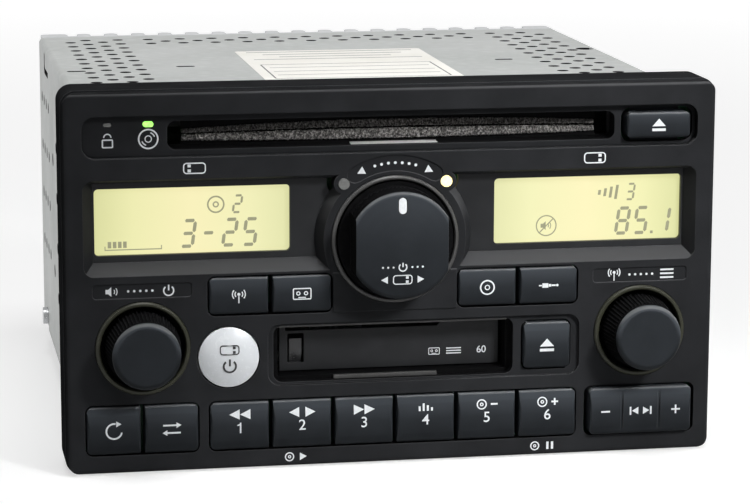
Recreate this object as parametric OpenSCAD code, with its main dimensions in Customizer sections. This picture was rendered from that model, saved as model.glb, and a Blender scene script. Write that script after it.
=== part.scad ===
// Double-height car radio with a disc slot, a cassette slot, two displays and three knobs.
// Millimetres. +X is to the right and +Y to the rear as seen from the front, +Z is up.
// The origin lies under the middle of the unit, level with the lowest edge of the bezel.
// Every module draws its piece from the centre of the bezel's face; from_face() sets it in place.

/* [Bezel] */
// Width of the moulded front
bezel_w = 188; // [186:1:196]
// Height of the moulded front
bezel_h = 109; // [108:0.5:116]
// Depth of the moulded front, face to back rim
bezel_depth = 18; // [16:0.5:24]
// Corner radius of the moulded front
bezel_corner = 4; // [3:0.5:8]
// Thickness of the front wall
face_t = 4; // [3.5:0.1:4.5]
// Thickness of the skirt behind the front wall
skirt_t = 2; // [1.5:0.1:3]
// How far the skirt stands out past the front wall
rim_step = 0.4; // [0.2:0.1:1]
// Distance from the face to the shadow groove round the rim
rim_y = 2.2; // [1.5:0.1:2.6]

/* [Disc slot] */
// Height of the disc slot above the middle of the face
disc_rise = 41.85; // [41:0.05:42.5]
// Width of the recessed strip that holds the disc slot
strip_width = 177.2; // [174:0.2:180]
// Height of the recessed strip
strip_height = 11.9; // [11.4:0.1:12.4]
// Corner radius of the recessed strip
strip_r = 3.7; // [2:0.1:5]
// How far the strip lies behind the face
strip_set = 2.5; // [1.5:0.1:3]
// Width of the disc slot
slot_width = 129; // [124:0.5:130]
// Height of the disc slot
slot_height = 8.1; // [7:0.1:8.6]
// Gap between the two felt lips
felt_gap = 0.6; // [0.4:0.1:2]
// Thickness of the felt lips
felt_t = 1.2; // [0.8:0.1:2]

/* [Displays] */
// Distance from a lit panel to the outer end of its recess
display_margin = 3.45; // [3:0.05:5]
// Height of the display recesses
display_height = 27.3; // [26.5:0.1:28]
// Height of the middle of the displays above the middle of the face
display_rise = 16.15; // [15.6:0.05:16.6]
// Run of the sloped wall below each display
bevel_low = 3.4; // [2:0.1:4]
// Run of the sloped walls at the ends of the displays
bevel_end = 3; // [2:0.1:4]
// Width of the lit panel
lcd_width = 55.5; // [50:0.5:56]
// Height of the lit panel
lcd_height = 19.1; // [17:0.1:19.6]
// Distance from the middle of the face to the middle of a lit panel
lcd_offset = 57.4; // [56:0.1:57.6]

/* [Knobs] */
// Distance of the volume and tuning knobs from the middle of the face
dial_offset = 72.25; // [71.5:0.05:73]
// Height of the volume and tuning knobs, below the middle of the face
dial_drop = 18.3; // [18:0.1:19]
// Radius of the volume and tuning knobs
dial_radius = 10.9; // [9.5:0.1:11.2]
// How far the volume and tuning knobs stand out of the face
dial_reach = 11.6; // [8:0.1:11.9]
// Outer radius of the rings round the volume and tuning knobs
ring_radius = 13.5; // [13:0.1:13.9]
// Width of the rings' rims
ring_lip = 1.4; // [0.8:0.1:1.8]
// How far the rings stand out of the face
ring_proud = 0.9; // [0.4:0.1:2]
// Height of the rear control knob above the middle of the face
control_rise = 10.9; // [10.5:0.1:11.5]
// Radius of the rear control knob's grip
control_radius = 15.4; // [13:0.1:15.8]
// Distance of the grip's flats from its axis
control_flat_at = 13.2; // [11:0.1:14]
// How far the rear control knob stands out of the face
control_reach = 12; // [11.9:0.1:16]
// Outer radius of the ring round the rear control knob
control_ring_radius = 18.45; // [18:0.05:19]
// Radius of the collar that the displays curve round
collar_radius = 20.6; // [20:0.1:21]
// Radius of the control shafts
shaft_r = 3; // [2.5:0.1:3.4]
// Push travel of the knobs
knob_travel = 1; // [0.5:0.1:1.1]
// Radial running clearance of shafts and pins
running = 0.04; // [0.02:0.01:0.08]

/* [Buttons] */
// Width of a preset button
preset_width = 16.8; // [16:0.1:17]
// Height of the buttons in the bottom row
row_height = 13.9; // [12:0.1:14.2]
// Height of the middle of the bottom row, below the middle of the face
row_drop = 41.8; // [41.4:0.1:42.2]
// Width of the two buttons at the left of the bottom row
pair_width = 15.2; // [14:0.1:15.6]
// Distance of the outer button groups from the middle of the face
pair_offset = 72.65; // [72:0.05:73]
// Width of the seek rocker
rocker_width = 30.5; // [28:0.1:31]
// How far the seek rocker stands out of the face
rocker_reach = 2.4; // [1:0.1:3]
// Width of a source button
source_width = 16.9; // [16:0.1:17.1]
// Height of a source button
source_height = 10.7; // [10:0.1:11]
// Distance of the source button pairs from the middle of the face
source_offset = 35.95; // [35.8:0.05:36.2]
// Height of the source buttons, below the middle of the face
source_drop = 4; // [3.8:0.1:4.4]
// Gap between neighbouring buttons
key_gap = 1.2; // [0.8:0.1:1.3]
// Clearance between a button and its opening
key_clear = 0.45; // [0.3:0.05:0.6]
// How far the buttons stand out of the face
key_reach = 1; // [0.4:0.1:2]
// Travel of the buttons
key_travel = 0.9; // [0.4:0.1:1]
// Radius of the round rear power button
power_radius = 8.65; // [7.5:0.05:8.8]
// Distance of the rear power button left of the middle of the face
power_offset = 47.95; // [47.6:0.05:48.2]
// Width and height of the cassette eject button
tape_eject_size = 13.8; // [12:0.1:14.2]
// Width of the disc eject button
disc_eject_width = 18.9; // [16:0.1:19.2]
// Height of the disc eject button
disc_eject_height = 7.6; // [6:0.1:7.8]

/* [Cassette slot] */
// Height of the cassette slot, below the middle of the face
tape_drop = 21.7; // [21.4:0.1:22]
// Width of the cassette opening
tape_width = 66.8; // [65:0.1:67]
// Height of the cassette opening
tape_height = 14.2; // [13.2:0.1:14.4]
// Width of the shallow recess round the cassette slot and its eject button
tape_recess_width = 91.1; // [90.5:0.1:92]
// Height of the shallow recess
tape_recess_height = 17.9; // [17:0.1:18.4]
// Depth of the shallow recess
tape_recess_d = 1.2; // [0.6:0.1:2]
// Distance from the face to the front of the cassette door
door_y = 8.4; // [8.2:0.1:8.6]
// Thickness of the cassette door
door_t = 1.5; // [1.2:0.1:1.8]
// Radius of the cassette door's hinge pin
door_pin_r = 1; // [0.8:0.05:1.1]

/* [Chassis] */
// Width of the sheet-metal case
chassis_width = 178; // [176:1:182]
// Height of the sheet-metal case
chassis_height = 100.6; // [99.6:0.2:102]
// Distance from the bezel's face to the back of the case
chassis_back = 173.7; // [165:0.1:190]
// Thickness of the case's sheet metal
sheet = 1.2; // [0.8:0.1:1.5]
// Radius of the ventilation holes
vent_r = 1.8; // [1:0.1:2.2]
// Depth of the heat sink
sink_depth = 9.3; // [7:0.1:20]
// Thickness of a heat sink fin
fin_t = 4.5; // [1.5:0.1:6]
// Distance between heat sink fins
fin_pitch = 9.2; // [8:0.1:12]
// Radius of the threaded bracket holes in the sides
bracket_r = 2.1; // [1.6:0.1:2.6]
// Distance between the bracket holes, front to back
bracket_pitch_y = 70; // [60:1:76]
// Distance between the bracket holes, top to bottom
bracket_pitch_z = 36; // [30:1:40]
// Radius of the antenna socket's bore
antenna_r = 4.1; // [3.5:0.1:4.5]

/* [Disc deck] */
// Distance from the face to the spindle of the disc deck
spindle_y = 84; // [82:0.5:88]
// Radius of the loading roller
roller_r = 2.8; // [2.2:0.1:3]
// Travel of the optical pickup
pickup_travel = 30; // [20:0.5:32]

/* [Cassette deck] */
// Distance from the face to the middle of a loaded cassette
cassette_y = 70; // [69:0.5:72]
// Distance between the two reel hubs
hub_pitch = 42.5; // [41:0.1:44]
// Distance between the two capstans
capstan_pitch = 54; // [50:0.5:58]
// Radius of the flywheels
flywheel_r = 16; // [13:0.1:17]
// How far the cassette carrier drops to play
carrier_drop = 6.6; // [5:0.1:6.8]

/* [Hidden] */
$fn = 48;

// Extra length of cutting shapes
cut = 1;
// Small gap between pieces that are pushed or clipped together
snug = 0.1;

// Sizes along the face follow the bezel when it is made wider or taller than usual
usual_w = 188;
usual_h = 109;
wide = bezel_w / usual_w;
tall = bezel_h / usual_h;
even = min(wide, tall);
strip_w = strip_width * wide;
slot_w = slot_width * wide;
lcd_w = lcd_width * wide;
lcd_x = lcd_offset * wide;
dial_x = dial_offset * wide;
preset_w = preset_width * wide;
pair_w = pair_width * wide;
pair_x = pair_offset * wide;
rocker_w = rocker_width * wide;
source_w = source_width * wide;
source_x = source_offset * wide;
power_x = power_offset * wide;
disc_eject_w = disc_eject_width * wide;
tape_w = tape_width * wide;
tape_recess_w = tape_recess_width * wide;
chassis_w = chassis_width * wide;
disc_z = disc_rise * tall;
strip_h = strip_height * tall;
slot_h = slot_height * tall;
display_h = display_height * tall;
display_z = display_rise * tall;
lcd_h = lcd_height * tall;
control_z = control_rise * tall;
row_h = row_height * tall;
source_h = source_height * tall;
disc_eject_h = disc_eject_height * tall;
tape_h = tape_height * tall;
tape_recess_h = tape_recess_height * tall;
chassis_h = chassis_height * tall;
dial_r = dial_radius * even;
ring_r = ring_radius * even;
control_r = control_radius * even;
control_flat = control_flat_at * even;
control_ring_r = control_ring_radius * even;
collar_r = collar_radius * even;
power_r = power_radius * even;
tape_eject_w = tape_eject_size * even;
display_half = lcd_x + lcd_w / 2 + display_margin;

// Colours as the unit shows them
charcoal = "#33353a";
button_grey = "#3b3d43";
felt_grey = "#6d655c";
panel_yellow = "#eceeb0";
mask_grey = "#43464b";
ring_grey = "#62645c";
lamp_white = "#f4ecd0";
zinc = "#b9bdbd";
light_metal = "#c9ccce";
steel = "#8f9498";
board_green = "#2f5f3c";
black = "#17181a";
white = "#f0f0ee";
brass = "#b89b52";
rubber = "#222224";

// The bezel's face in the frame: middle of its front, with the depth centred on the origin
total_depth = control_reach + chassis_back + sink_depth;
face_y = control_reach - total_depth / 2;
face_z = bezel_h / 2 + rim_step;

// Depths behind the face
board_y = 12;
board_t = 1.6;
board_gap = 0.4;
flange_t = 1;
flange_lift = 0.2;
flange_over = 1.4;
cap_t = 1.6;
key_r = 1.8;
inner_r = 0.4;
key_ease = 0.9;
crown_r = 34;
post_r = 2;
switch_top = board_y - 4.1;
post_end = switch_top - key_travel - 0.2;
case_front = board_y + board_t + 1;

// Disc slot
strip_back = face_t + flange_t;
slot_r = 2.3;
tunnel_t = 1.4;
felt_y = 8;
felt_side = 4.4;
lip_d = 0.7;
mouth_h = 0.62 * slot_h;
disc_eject_x = 77 * wide;
eject_margin = 1.2;
disc_lamp_x = -69.8 * wide;
theft_lamp_x = -81.2 * wide;
lamp_rise = 3.3 * tall;

// Displays
display_top = display_z + display_h / 2;
display_low = display_z - display_h / 2;
display_r = 3;
bevel_top = 1.4;
bevel_collar = 2.2;
lcd_z = display_z + 1.15;
mask_t = 1.5;
mask_lap = 1.5;
mask_z = display_z + (bevel_low - bevel_top) / 2;
mask_h = display_h - bevel_low - bevel_top + 2 * mask_lap;
lcd_rim = 1.6;
lamp_x = 14.8 * even;
lamp_z = control_z + 16.3 * even;
lamp_r = 1.6;
lamp_boss_r = 2.9;

// Knobs
dial_z = -dial_drop * tall;
control_lip = 1.25;
ring_seat = 2.4;
well_floor = 5.2;
well_t = 1.3;
knob_back = 3;
base_front = -1;
bush_r = 4.2;
bush_front = 3.2;
encoder_w = 13;
encoder_front = well_floor + well_t + snug;
shaft_front = -dial_reach + 3;
shaft_end = 8.8;
plunger_head = 1;
plunger_pin_r = 1.2;
dial_taper = 1.2;
knurl_n = 60;
knurl_r = 0.42;

// Buttons
row_z = -row_drop * tall;
row_open_h = row_h + 2 * key_clear;
preset_pitch = preset_w + key_gap;
preset_open_w = 6 * preset_w + 5 * key_gap + 2 * key_clear;
pair_open_w = 2 * pair_w + key_gap + 2 * key_clear;
rocker_play = 1.35;
rocker_open_w = rocker_w + 2 * rocker_play;
rocker_groove = 5.55 * wide;
rocker_post = 9 * wide;
trunnion_r = 1.2;
trunnion_y = 6.6;
source_z = -source_drop * tall;
source_open_w = 2 * source_w + key_gap + 2 * key_clear;
source_open_h = source_h + 2 * key_clear;
tape_z = -tape_drop * tall;
power_dome = 2.2;
tape_eject_x = 44.75 * wide;

// Cassette slot
tape_low = tape_z - tape_h / 2;
tape_top = tape_z + tape_h / 2;
tape_recess_x = 8.9 * wide;
tape_open_w = tape_w + 3.2;
tape_open_h = tape_h + 2.2;
tape_wall = 1.5;
hinge_y = door_y + door_t / 2;
hinge_z = tape_top + 1.3;
knuckle_r = door_pin_r + 0.9;
funnel_x = tape_w / 2 + 2.5;
funnel_low = tape_low - tape_wall;
funnel_top = hinge_z + knuckle_r + 0.6 + tape_wall;
funnel_step = hinge_y - knuckle_r - 0.4;
funnel_back = case_front + 0.4;
door_w = tape_w - 2.4;
door_low = tape_low + 0.5;
door_top = hinge_z - knuckle_r + 0.3;
window_x = -27.5 * wide;
window_w = 4.8;
window_h = 8.6 * tall;
step_x = 14 * wide;
step_h = 1.7;

// Chassis
case_x = chassis_w / 2;
case_z = chassis_h / 2;
fit = 0.2;
tray_x = case_x - sheet - fit;
skirt_low = -case_z + 6.3;
flange_top = -case_z + 11.9;
bend_r = 1.6;
bracket_y = 80;
bracket_boss = 2;
bracket_boss_r = 4;
bracket_places = [
  for (a = [-0.5, 0.5], b = [-0.5, 0.5]) [bracket_y + a * bracket_pitch_y, b * bracket_pitch_z]
];
vent_pitch_x = 5.35;
vent_side = 25.4;
vent_pitch_y = 11.4;
vent_back = chassis_back - 10.7;
screw_r = 1.5;
screw_head_r = 2.8;
screw_head_h = 1.6;
screw_z = (skirt_low + flange_top) / 2;
screw_ys = [36, chassis_back - 18];
sink_base = 3;
sink_h = 46;
sink_end_w = 9;
main_back = chassis_back - 6;
main_front = 24;
standoff_r = 3;
connector_w = 44;
connector_h = 18;
connector_wall = 2;
connector_reach = 6.5;
antenna_x = 60 * wide;
antenna_z = -28 * tall;
antenna_wall = 1.9;
antenna_reach = 8;

// Disc deck, set by the height of the slot
deck_x = slot_w / 2 + 3.5;
deck_drop = 16;
deck_rise = 5.6;
deck_low = disc_z - deck_drop;
deck_high = disc_z + deck_rise;
deck_front = case_front + 5;
disc_under = disc_z - 0.8;
roller_y = deck_front + 5;
roller_z = disc_under - roller_r;
roller_shaft_r = 1.5;
rod_x = 20;
rod_r = 1.5;
rod_z = deck_low + 6;
rod_post = 3;
turntable_r = 14;
turntable_low = 6.7;
rod_front = spindle_y + turntable_r + 2;
pickup_w = 48;
pickup_l = 16;
pickup_gap = 0.5;
pickup_y = rod_front + rod_post + pickup_gap + pickup_l / 2;
rod_back = pickup_y + pickup_l / 2 + pickup_travel + pickup_gap;
deck_back = rod_back + rod_post + 1;
ear_w = 12;

// Cassette deck, set by the height of the slot
carrier_x = tape_w / 2 + 1;
carrier_t = 0.8;
tape_plate_t = 1.2;
carrier_gap = 0.4;
carrier_rise = 0.2;
carrier_floor = tape_low - carrier_rise;
fixed_room = carrier_rise + carrier_t + carrier_gap + tape_plate_t + board_t + sheet;
usual_room = 16.1;
room = (case_z + tape_low - fixed_room) / usual_room;
carrier_fall = carrier_drop * room;
tape_wall_x = carrier_x + 0.4;
tape_plate_top = carrier_floor - carrier_t - carrier_fall - carrier_gap;
tape_plate_z = tape_plate_top - tape_plate_t;
carrier_lip = 6;
carrier_len = 92;
carrier_pin_r = 1.2;
carrier_pin_z = tape_z + 2;
carrier_pin_ys = [cassette_y - 34, cassette_y + 34];
hub_x = -2;
hub_boss = 1.2;
hub_top = carrier_floor - carrier_t - 0.5;
capstan_x = 23.6;
capstan_r = 1;
flywheel_t = 3.4 * room;
flywheel_top = tape_plate_z - 1.2 * room;
main_z = flywheel_top - flywheel_t - 1.8 * room - board_t;
motor_x = 56;
motor_y = cassette_y + 38;
motor_r = 13;
motor_h = 20;
tape_deck_tail = 60;
head_l = 12;
head_w = 18;
head_h = 11;
pulley_r = 4;
belt_gap = 0.3;
belt_t = 0.9;
belt_h = flywheel_t - 1;

// Puts a piece that was drawn from the centre of the bezel's face into the frame
module from_face() translate([0, face_y, face_z]) children();

// A flat outline in X and Z, extruded between two depths
module slab(y0, y1) translate([0, y1, 0]) rotate([90, 0, 0]) linear_extrude(y1 - y0) children();

// A flat outline in Y and Z, extruded along X about the middle
module along_x(w) translate([-w / 2, 0, 0]) rotate([90, 0, 90]) linear_extrude(w) children();

// Round bars along each axis
module rod_y(r, y0, y1) translate([0, y0, 0]) rotate([-90, 0, 0]) cylinder(r = r, h = y1 - y0);
module bar_x(r, x0, x1) translate([x0, 0, 0]) rotate([0, 90, 0]) cylinder(r = r, h = x1 - x0);
module bar_z(r, z0, z1) translate([0, 0, z0]) cylinder(r = r, h = z1 - z0);

// A box from its lowest to its highest corner
module block(low, high) translate(low) cube(high - low);

// A rectangle with round corners
module rounded(w, h, r) {
  square([w - 2 * r, h], center = true);
  square([w, h - 2 * r], center = true);
  for (sx = [-1, 1], sz = [-1, 1]) translate([sx * (w / 2 - r), sz * (h / 2 - r)]) circle(r);
}

// A rectangle whose left and right corners each have their own radius
module rounded_ends(w, h, left, right) {
  for (end = [[0, left], [1, right]]) mirror([1 - end[0], 0]) {
    r = end[1];
    translate([-cut, -h / 2]) square([w / 2 - r + cut, h]);
    translate([-cut, r - h / 2]) square([w / 2 + cut, h - 2 * r]);
    for (s = [-1, 1]) translate([w / 2 - r, s * (h / 2 - r)]) circle(r);
  }
}

// Half outline, depth against width, of a block whose front edges are rounded and whose middle stands out
function soft_front(w, y0, y1, e, crown) = concat(
  [[y1, -w / 2], [y1, w / 2]],
  [for (a = [0 : 22.5 : 90]) [y0 + crown + e - e * sin(a), w / 2 - e + e * cos(a)]],
  crown == 0 ? [] : [for (t = [0.75 : -0.25 : -0.75]) [y0 + crown * t * t, t * (w / 2 - e)]],
  [for (a = [90 : -22.5 : 0]) [y0 + crown + e - e * sin(a), e - w / 2 - e * cos(a)]]
);

// A block with round corners and rounded front edges
module eased(w, h, y0, y1, left, right, e, crown = 0) intersection() {
  slab(y0, y1) rounded_ends(w, h, left, right);
  along_x(w) polygon(soft_front(h, y0, y1, e, crown));
  translate([0, 0, -h / 2]) linear_extrude(h) polygon([for (p = soft_front(w, y0, y1, e, 0)) [p[1], p[0]]]);
}

// How far the middle of a key of this height stands out before its top and bottom edges
function key_crown(h) = pow(h / 2 - key_ease, 2) / (2 * crown_r);

// A push button: hollow cap, flange that holds it behind a wall, and the post that works its switch
module key(w, h, reach, wall, over, left, right) {
  flange_y = wall + flange_lift;
  difference() {
    union() {
      eased(w, h, -reach, flange_y + flange_t, left, right, key_ease, key_crown(h));
      slab(flange_y, flange_y + flange_t) square([w - 2 * key_r - 1, h + 2 * over], center = true);
    }
    slab(cap_t - reach, post_end + cut) rounded(w - 2 * cap_t, h - 2 * cap_t, key_r / 2);
  }
  rod_y(post_r, cap_t - reach - snug, post_end);
}

// What the displays curve round: the knob's collar and the two lamp bosses beside it
module collar_outline(r, boss_r) {
  translate([0, control_z]) circle(r);
  for (s = [-1, 1]) translate([s * lamp_x, lamp_z]) circle(boss_r);
  translate([-lamp_x, control_z]) square([2 * lamp_x, display_top + cut - control_z]);
}

// The display recesses, with their sloped walls, as a cutting shape
module display_pocket() difference() {
  low_run = bevel_low / face_t;
  top_run = bevel_top / face_t;
  end_run = bevel_end / face_t;
  collar_run = bevel_collar / face_t;
  y0 = -cut;
  y1 = face_t + cut;
  intersection() {
    slab(y0, y1) difference() {
      translate([0, display_z]) rounded(2 * display_half, display_h, display_r);
      collar_outline(collar_r, lamp_boss_r);
    }
    along_x(bezel_w) polygon([
      [y0, display_low + y0 * low_run], [y1, display_low + y1 * low_run],
      [y1, display_top - y1 * top_run], [y0, display_top - y0 * top_run]
    ]);
    translate([0, 0, display_low - cut]) linear_extrude(display_h + 2 * cut) polygon([
      [y0 * end_run - display_half, y0], [display_half - y0 * end_run, y0],
      [display_half - y1 * end_run, y1], [y1 * end_run - display_half, y1]
    ]);
  }
  translate([0, y0, control_z]) rotate([-90, 0, 0])
    cylinder(r1 = collar_r + y0 * collar_run, r2 = collar_r + y1 * collar_run, h = y1 - y0);
}

// The cup behind the face that a knob turns in, with a seat for its ring
module knob_well(r) rod_y(r, face_t - snug, well_floor + well_t);
module knob_well_cut(r, lip) {
  rod_y(r, -cut, ring_seat);
  rod_y(r - lip, -cut, well_floor);
  rod_y(bush_r + 0.4, well_floor - cut, well_floor + well_t + cut);
}

// Bosses that the front circuit board is screwed to
boss_places = [
  for (p = [[-45, 32.9], [45, 32.9], [-56.6, -31.2], [56.6, -31.2]]) [p[0] * wide, p[1] * tall]
];
boss_r = 1.8;

// Clips behind the rim that hold the bezel on the sheet-metal case
module case_clips() {
  clip_w = 12;
  clip_y = bezel_depth - 3;
  for (x = [-60, 0, 60], s = [-1, 1])
    translate([x, 0, s * (case_z + bezel_h / 2) / 2])
      slab(clip_y, bezel_depth) square([clip_w, bezel_h / 2 - case_z], center = true);
  for (z = [-25, 25], s = [-1, 1])
    translate([s * (case_x + bezel_w / 2) / 2, 0, z])
      slab(clip_y, bezel_depth) square([bezel_w / 2 - case_x, clip_w], center = true);
}

module bezel_shell() {
  out_w = bezel_w + 2 * rim_step;
  out_h = bezel_h + 2 * rim_step;
  groove = 0.8;
  rim_ease = 1.4;
  eased(bezel_w, bezel_h, 0, rim_y, bezel_corner, bezel_corner, rim_ease);
  slab(rim_y, rim_y + groove) rounded(bezel_w - 2 * rim_step, bezel_h - 2 * rim_step, bezel_corner);
  difference() {
    slab(rim_y + groove, bezel_depth) rounded(out_w, out_h, bezel_corner + rim_step);
    slab(face_t, bezel_depth + cut)
      rounded(bezel_w - 2 * skirt_t, bezel_h - 2 * skirt_t, bezel_corner - 1);
  }
}

module label_plates() {
  label_w = 28 * wide;
  label_h = 4.1;
  label_d = 0.3;
  label_z = -1.75 * tall;
  arc_in = control_ring_r + 1.2;
  arc_out = arc_in + 4.6;
  arc_half = 32;
  side = 2 * arc_out * sin(arc_half);
  rise = 2 * arc_out * cos(arc_half);
  for (s = [-1, 1]) translate([s * dial_x, 0, label_z]) slab(-cut, label_d) rounded(label_w, label_h, 1);
  translate([0, 0, control_z]) slab(-cut, label_d) {
    intersection() {
      difference() {
        circle(arc_out);
        circle(arc_in);
      }
      polygon([[0, 0], [-side, rise], [side, rise]]);
    }
    for (s = [-1, 1]) rotate(s * arc_half) translate([0, (arc_in + arc_out) / 2])
      circle((arc_out - arc_in) / 2 - snug);
  }
}

module button_openings() {
  y0 = -cut;
  y1 = face_t + cut;
  open_r = key_r + key_clear;
  translate([0, 0, row_z]) slab(y0, y1) rounded(preset_open_w, row_open_h, open_r);
  translate([-pair_x, 0, row_z]) slab(y0, y1) rounded(pair_open_w, row_open_h, open_r);
  translate([pair_x, 0, row_z]) slab(y0, y1) rounded(rocker_open_w, row_open_h, open_r);
  for (s = [-1, 1])
    translate([s * source_x, 0, source_z]) slab(y0, y1) rounded(source_open_w, source_open_h, open_r);
  translate([-power_x, 0, tape_z]) rod_y(power_r + key_clear, y0, y1);
  translate([tape_eject_x, 0, tape_z]) slab(y0, y1)
    rounded(tape_eject_w + 2 * key_clear, tape_eject_w + 2 * key_clear, open_r);
}

// Lugs behind the front wall that the seek rocker's trunnions turn in
module rocker_lugs() for (s = [-1, 1])
  translate([pair_x, 0, row_z + s * (row_open_h / 2 + 1.5)]) difference() {
    slab(face_t - snug, trunnion_y + 2.4) square([6, 1.6], center = true);
    translate([0, trunnion_y, 0]) bar_z(trunnion_r + running, -2, 2);
  }

module front_bezel() color(charcoal) from_face() {
  difference() {
    union() {
      bezel_shell();
      for (s = [-1, 1]) translate([s * dial_x, 0, dial_z]) knob_well(ring_r);
      translate([0, 0, control_z]) knob_well(control_ring_r);
      translate([0, 0, source_z]) eased(2 * source_x - source_open_w, source_open_h,
        -key_reach / 2, face_t, inner_r, inner_r, inner_r);
    }
    translate([0, 0, disc_z]) slab(-cut, face_t + cut) rounded(strip_w, strip_h, strip_r);
    display_pocket();
    for (s = [-1, 1]) translate([s * dial_x, 0, dial_z]) knob_well_cut(ring_r, ring_lip);
    translate([0, 0, control_z]) knob_well_cut(control_ring_r, control_lip);
    for (s = [-1, 1]) translate([s * lamp_x, 0, lamp_z]) rod_y(lamp_r + snug, -cut, face_t + cut);
    label_plates();
    button_openings();
    translate([tape_recess_x, 0, tape_z]) slab(-cut, tape_recess_d)
      rounded(tape_recess_w, tape_recess_h, 3.5);
    translate([0, 0, tape_z]) slab(-cut, face_t + cut) rounded(tape_open_w, tape_open_h, 2.6);
  }
  for (p = boss_places) translate([p[0], 0, p[1]]) rod_y(boss_r, face_t - snug, board_y);
  rocker_lugs();
  case_clips();
}

// The strip that carries the disc slot, clipped in from behind, with a tunnel for the disc
module disc_slot_frame() color(charcoal) from_face() translate([0, 0, disc_z]) difference() {
  union() {
    slab(strip_set, strip_back) rounded(strip_w - 2 * snug, strip_h - 2 * snug, strip_r - snug);
    slab(face_t, strip_back) square([strip_w - 2 * strip_r, strip_h + 1.4], center = true);
    slab(strip_back - snug, felt_y)
      rounded(slot_w + 2 * tunnel_t, slot_h + 2 * tunnel_t, slot_r + tunnel_t);
  }
  intersection() {
    slab(strip_set - cut, felt_y + cut) rounded(slot_w, slot_h, slot_r);
    along_x(slot_w + 2) polygon([
      [strip_set - 2 * cut, -slot_h / 2 - cut], [strip_set + lip_d, -slot_h / 2 - cut],
      [felt_y + 2 * cut, -mouth_h / 2], [felt_y + 2 * cut, mouth_h / 2],
      [strip_set + lip_d, slot_h / 2 + cut], [strip_set - 2 * cut, slot_h / 2 + cut]
    ]);
  }
  translate([disc_eject_x, 0, 0]) slab(strip_set - cut, strip_back + cut)
    rounded(disc_eject_w + 2 * eject_margin, disc_eject_h + 2 * eject_margin, key_r + eject_margin);
  translate([disc_lamp_x, 0, lamp_rise]) slab(strip_set - cut, strip_back + cut) rounded(3.1, 1.7, 0.8);
  translate([theft_lamp_x, 0, lamp_rise]) slab(strip_set - cut, strip_back + cut) rounded(2.3, 1.2, 0.5);
}

// Two felt lips that wipe the disc, fixed behind the tunnel
module disc_felts() color(felt_grey) from_face() translate([0, 0, disc_z]) {
  lip_h = (slot_h + 2 * tunnel_t - felt_gap) / 2;
  for (s = [-1, 1]) translate([0, 0, s * (felt_gap + lip_h) / 2])
    slab(felt_y, felt_y + felt_t) square([slot_w - 2 * felt_side, lip_h], center = true);
}

module disc_eject_button() color(button_grey) from_face() translate([disc_eject_x, 0, disc_z])
  key(disc_eject_w, disc_eject_h, 0.2, strip_back, eject_margin + 1, key_r, key_r);

// Light pipes: disc lamp and theft lamp in the strip, and one lamp at each side of the large knob
module indicator_lights() color(lamp_white) from_face() {
  translate([disc_lamp_x, 0, disc_z + lamp_rise]) slab(strip_set - 0.3, board_y) rounded(2.9, 1.5, 0.7);
  translate([theft_lamp_x, 0, disc_z + lamp_rise]) slab(strip_set - 0.1, board_y) rounded(2.1, 1, 0.4);
  for (s = [-1, 1]) translate([s * lamp_x, 0, lamp_z]) rod_y(lamp_r, -0.3, board_y);
}

// Dark surrounds of the two displays, held behind the front wall
module display_masks() color(mask_grey) from_face() for (s = [-1, 1]) mirror([s > 0 ? 0 : 1, 0, 0])
  slab(face_t, face_t + mask_t) difference() {
    intersection() {
      translate([0, mask_z]) rounded(2 * (display_half - bevel_end + mask_lap), mask_h, display_r);
      translate([lamp_x, mask_z - mask_h / 2]) square([display_half, mask_h]);
    }
    translate([0, control_z]) circle(collar_r + bevel_collar - mask_lap);
    translate([lamp_x, lamp_z]) circle(lamp_boss_r + 1.4);
    translate([lcd_x, lcd_z]) rounded(lcd_w, lcd_h, 1.2);
  }

// Liquid-crystal panels with their holders, standing on the front circuit board
module display_panels() color(panel_yellow) from_face() for (s = [-1, 1])
  translate([s * lcd_x, 0, lcd_z]) {
    slab(face_t + mask_t + snug, face_t + mask_t + 2.4)
      square([lcd_w + 2 * lcd_rim, lcd_h + 2 * lcd_rim], center = true);
    slab(face_t + mask_t + 2.3, board_y) square([lcd_w, lcd_h], center = true);
  }

// A hollow knob with a rounded front edge, a knurled side and a hub on its shaft
module dial_knob() {
  edge = 1.6;
  wall = 1.5;
  hub_r = shaft_r + 1.6;
  side_back = knob_back - 1;
  lean = atan(dial_taper / (side_back + dial_reach - edge));
  difference() {
    rotate([-90, 0, 0]) rotate_extrude() polygon(concat(
      [[0, -dial_reach]],
      [for (a = [0 : 15 : 90]) [dial_r - dial_taper - edge + edge * sin(a), edge - dial_reach - edge * cos(a)]],
      [[dial_r, side_back], [dial_r, knob_back], [dial_r - wall, knob_back],
       [dial_r - wall - dial_taper, wall - dial_reach + 1], [hub_r, wall - dial_reach + 1],
       [hub_r, bush_front - knob_travel - 0.4], [0, bush_front - knob_travel - 0.4]]
    ));
    rod_y(shaft_r + running, shaft_front, knob_back);
    for (i = [0 : knurl_n - 1]) rotate([0, 360 * i / knurl_n, 0])
      translate([dial_r + 0.1, side_back, 0]) rotate([0, 0, -lean])
        rod_y(knurl_r, 2.2 - dial_reach - side_back, knob_back - side_back + 0.2, $fn = 16);
  }
}

module control_shaft() rod_y(shaft_r, shaft_front, shaft_end);

// The piece under the shaft that carries a push to the switch in the encoder
module push_plunger() {
  rod_y(shaft_r, shaft_end, shaft_end + plunger_head);
  rod_y(plunger_pin_r, shaft_end + plunger_head - snug, board_y - knob_travel - snug);
}

module volume_knob() color(charcoal) from_face() translate([-dial_x, 0, dial_z]) dial_knob();
module volume_shaft() color(steel) from_face() translate([-dial_x, 0, dial_z]) control_shaft();
module volume_plunger() color(white) from_face() translate([-dial_x, 0, dial_z]) push_plunger();
module tune_knob() color(charcoal) from_face() translate([dial_x, 0, dial_z]) dial_knob();
module tune_shaft() color(steel) from_face() translate([dial_x, 0, dial_z]) control_shaft();
module tune_plunger() color(white) from_face() translate([dial_x, 0, dial_z]) push_plunger();

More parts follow.
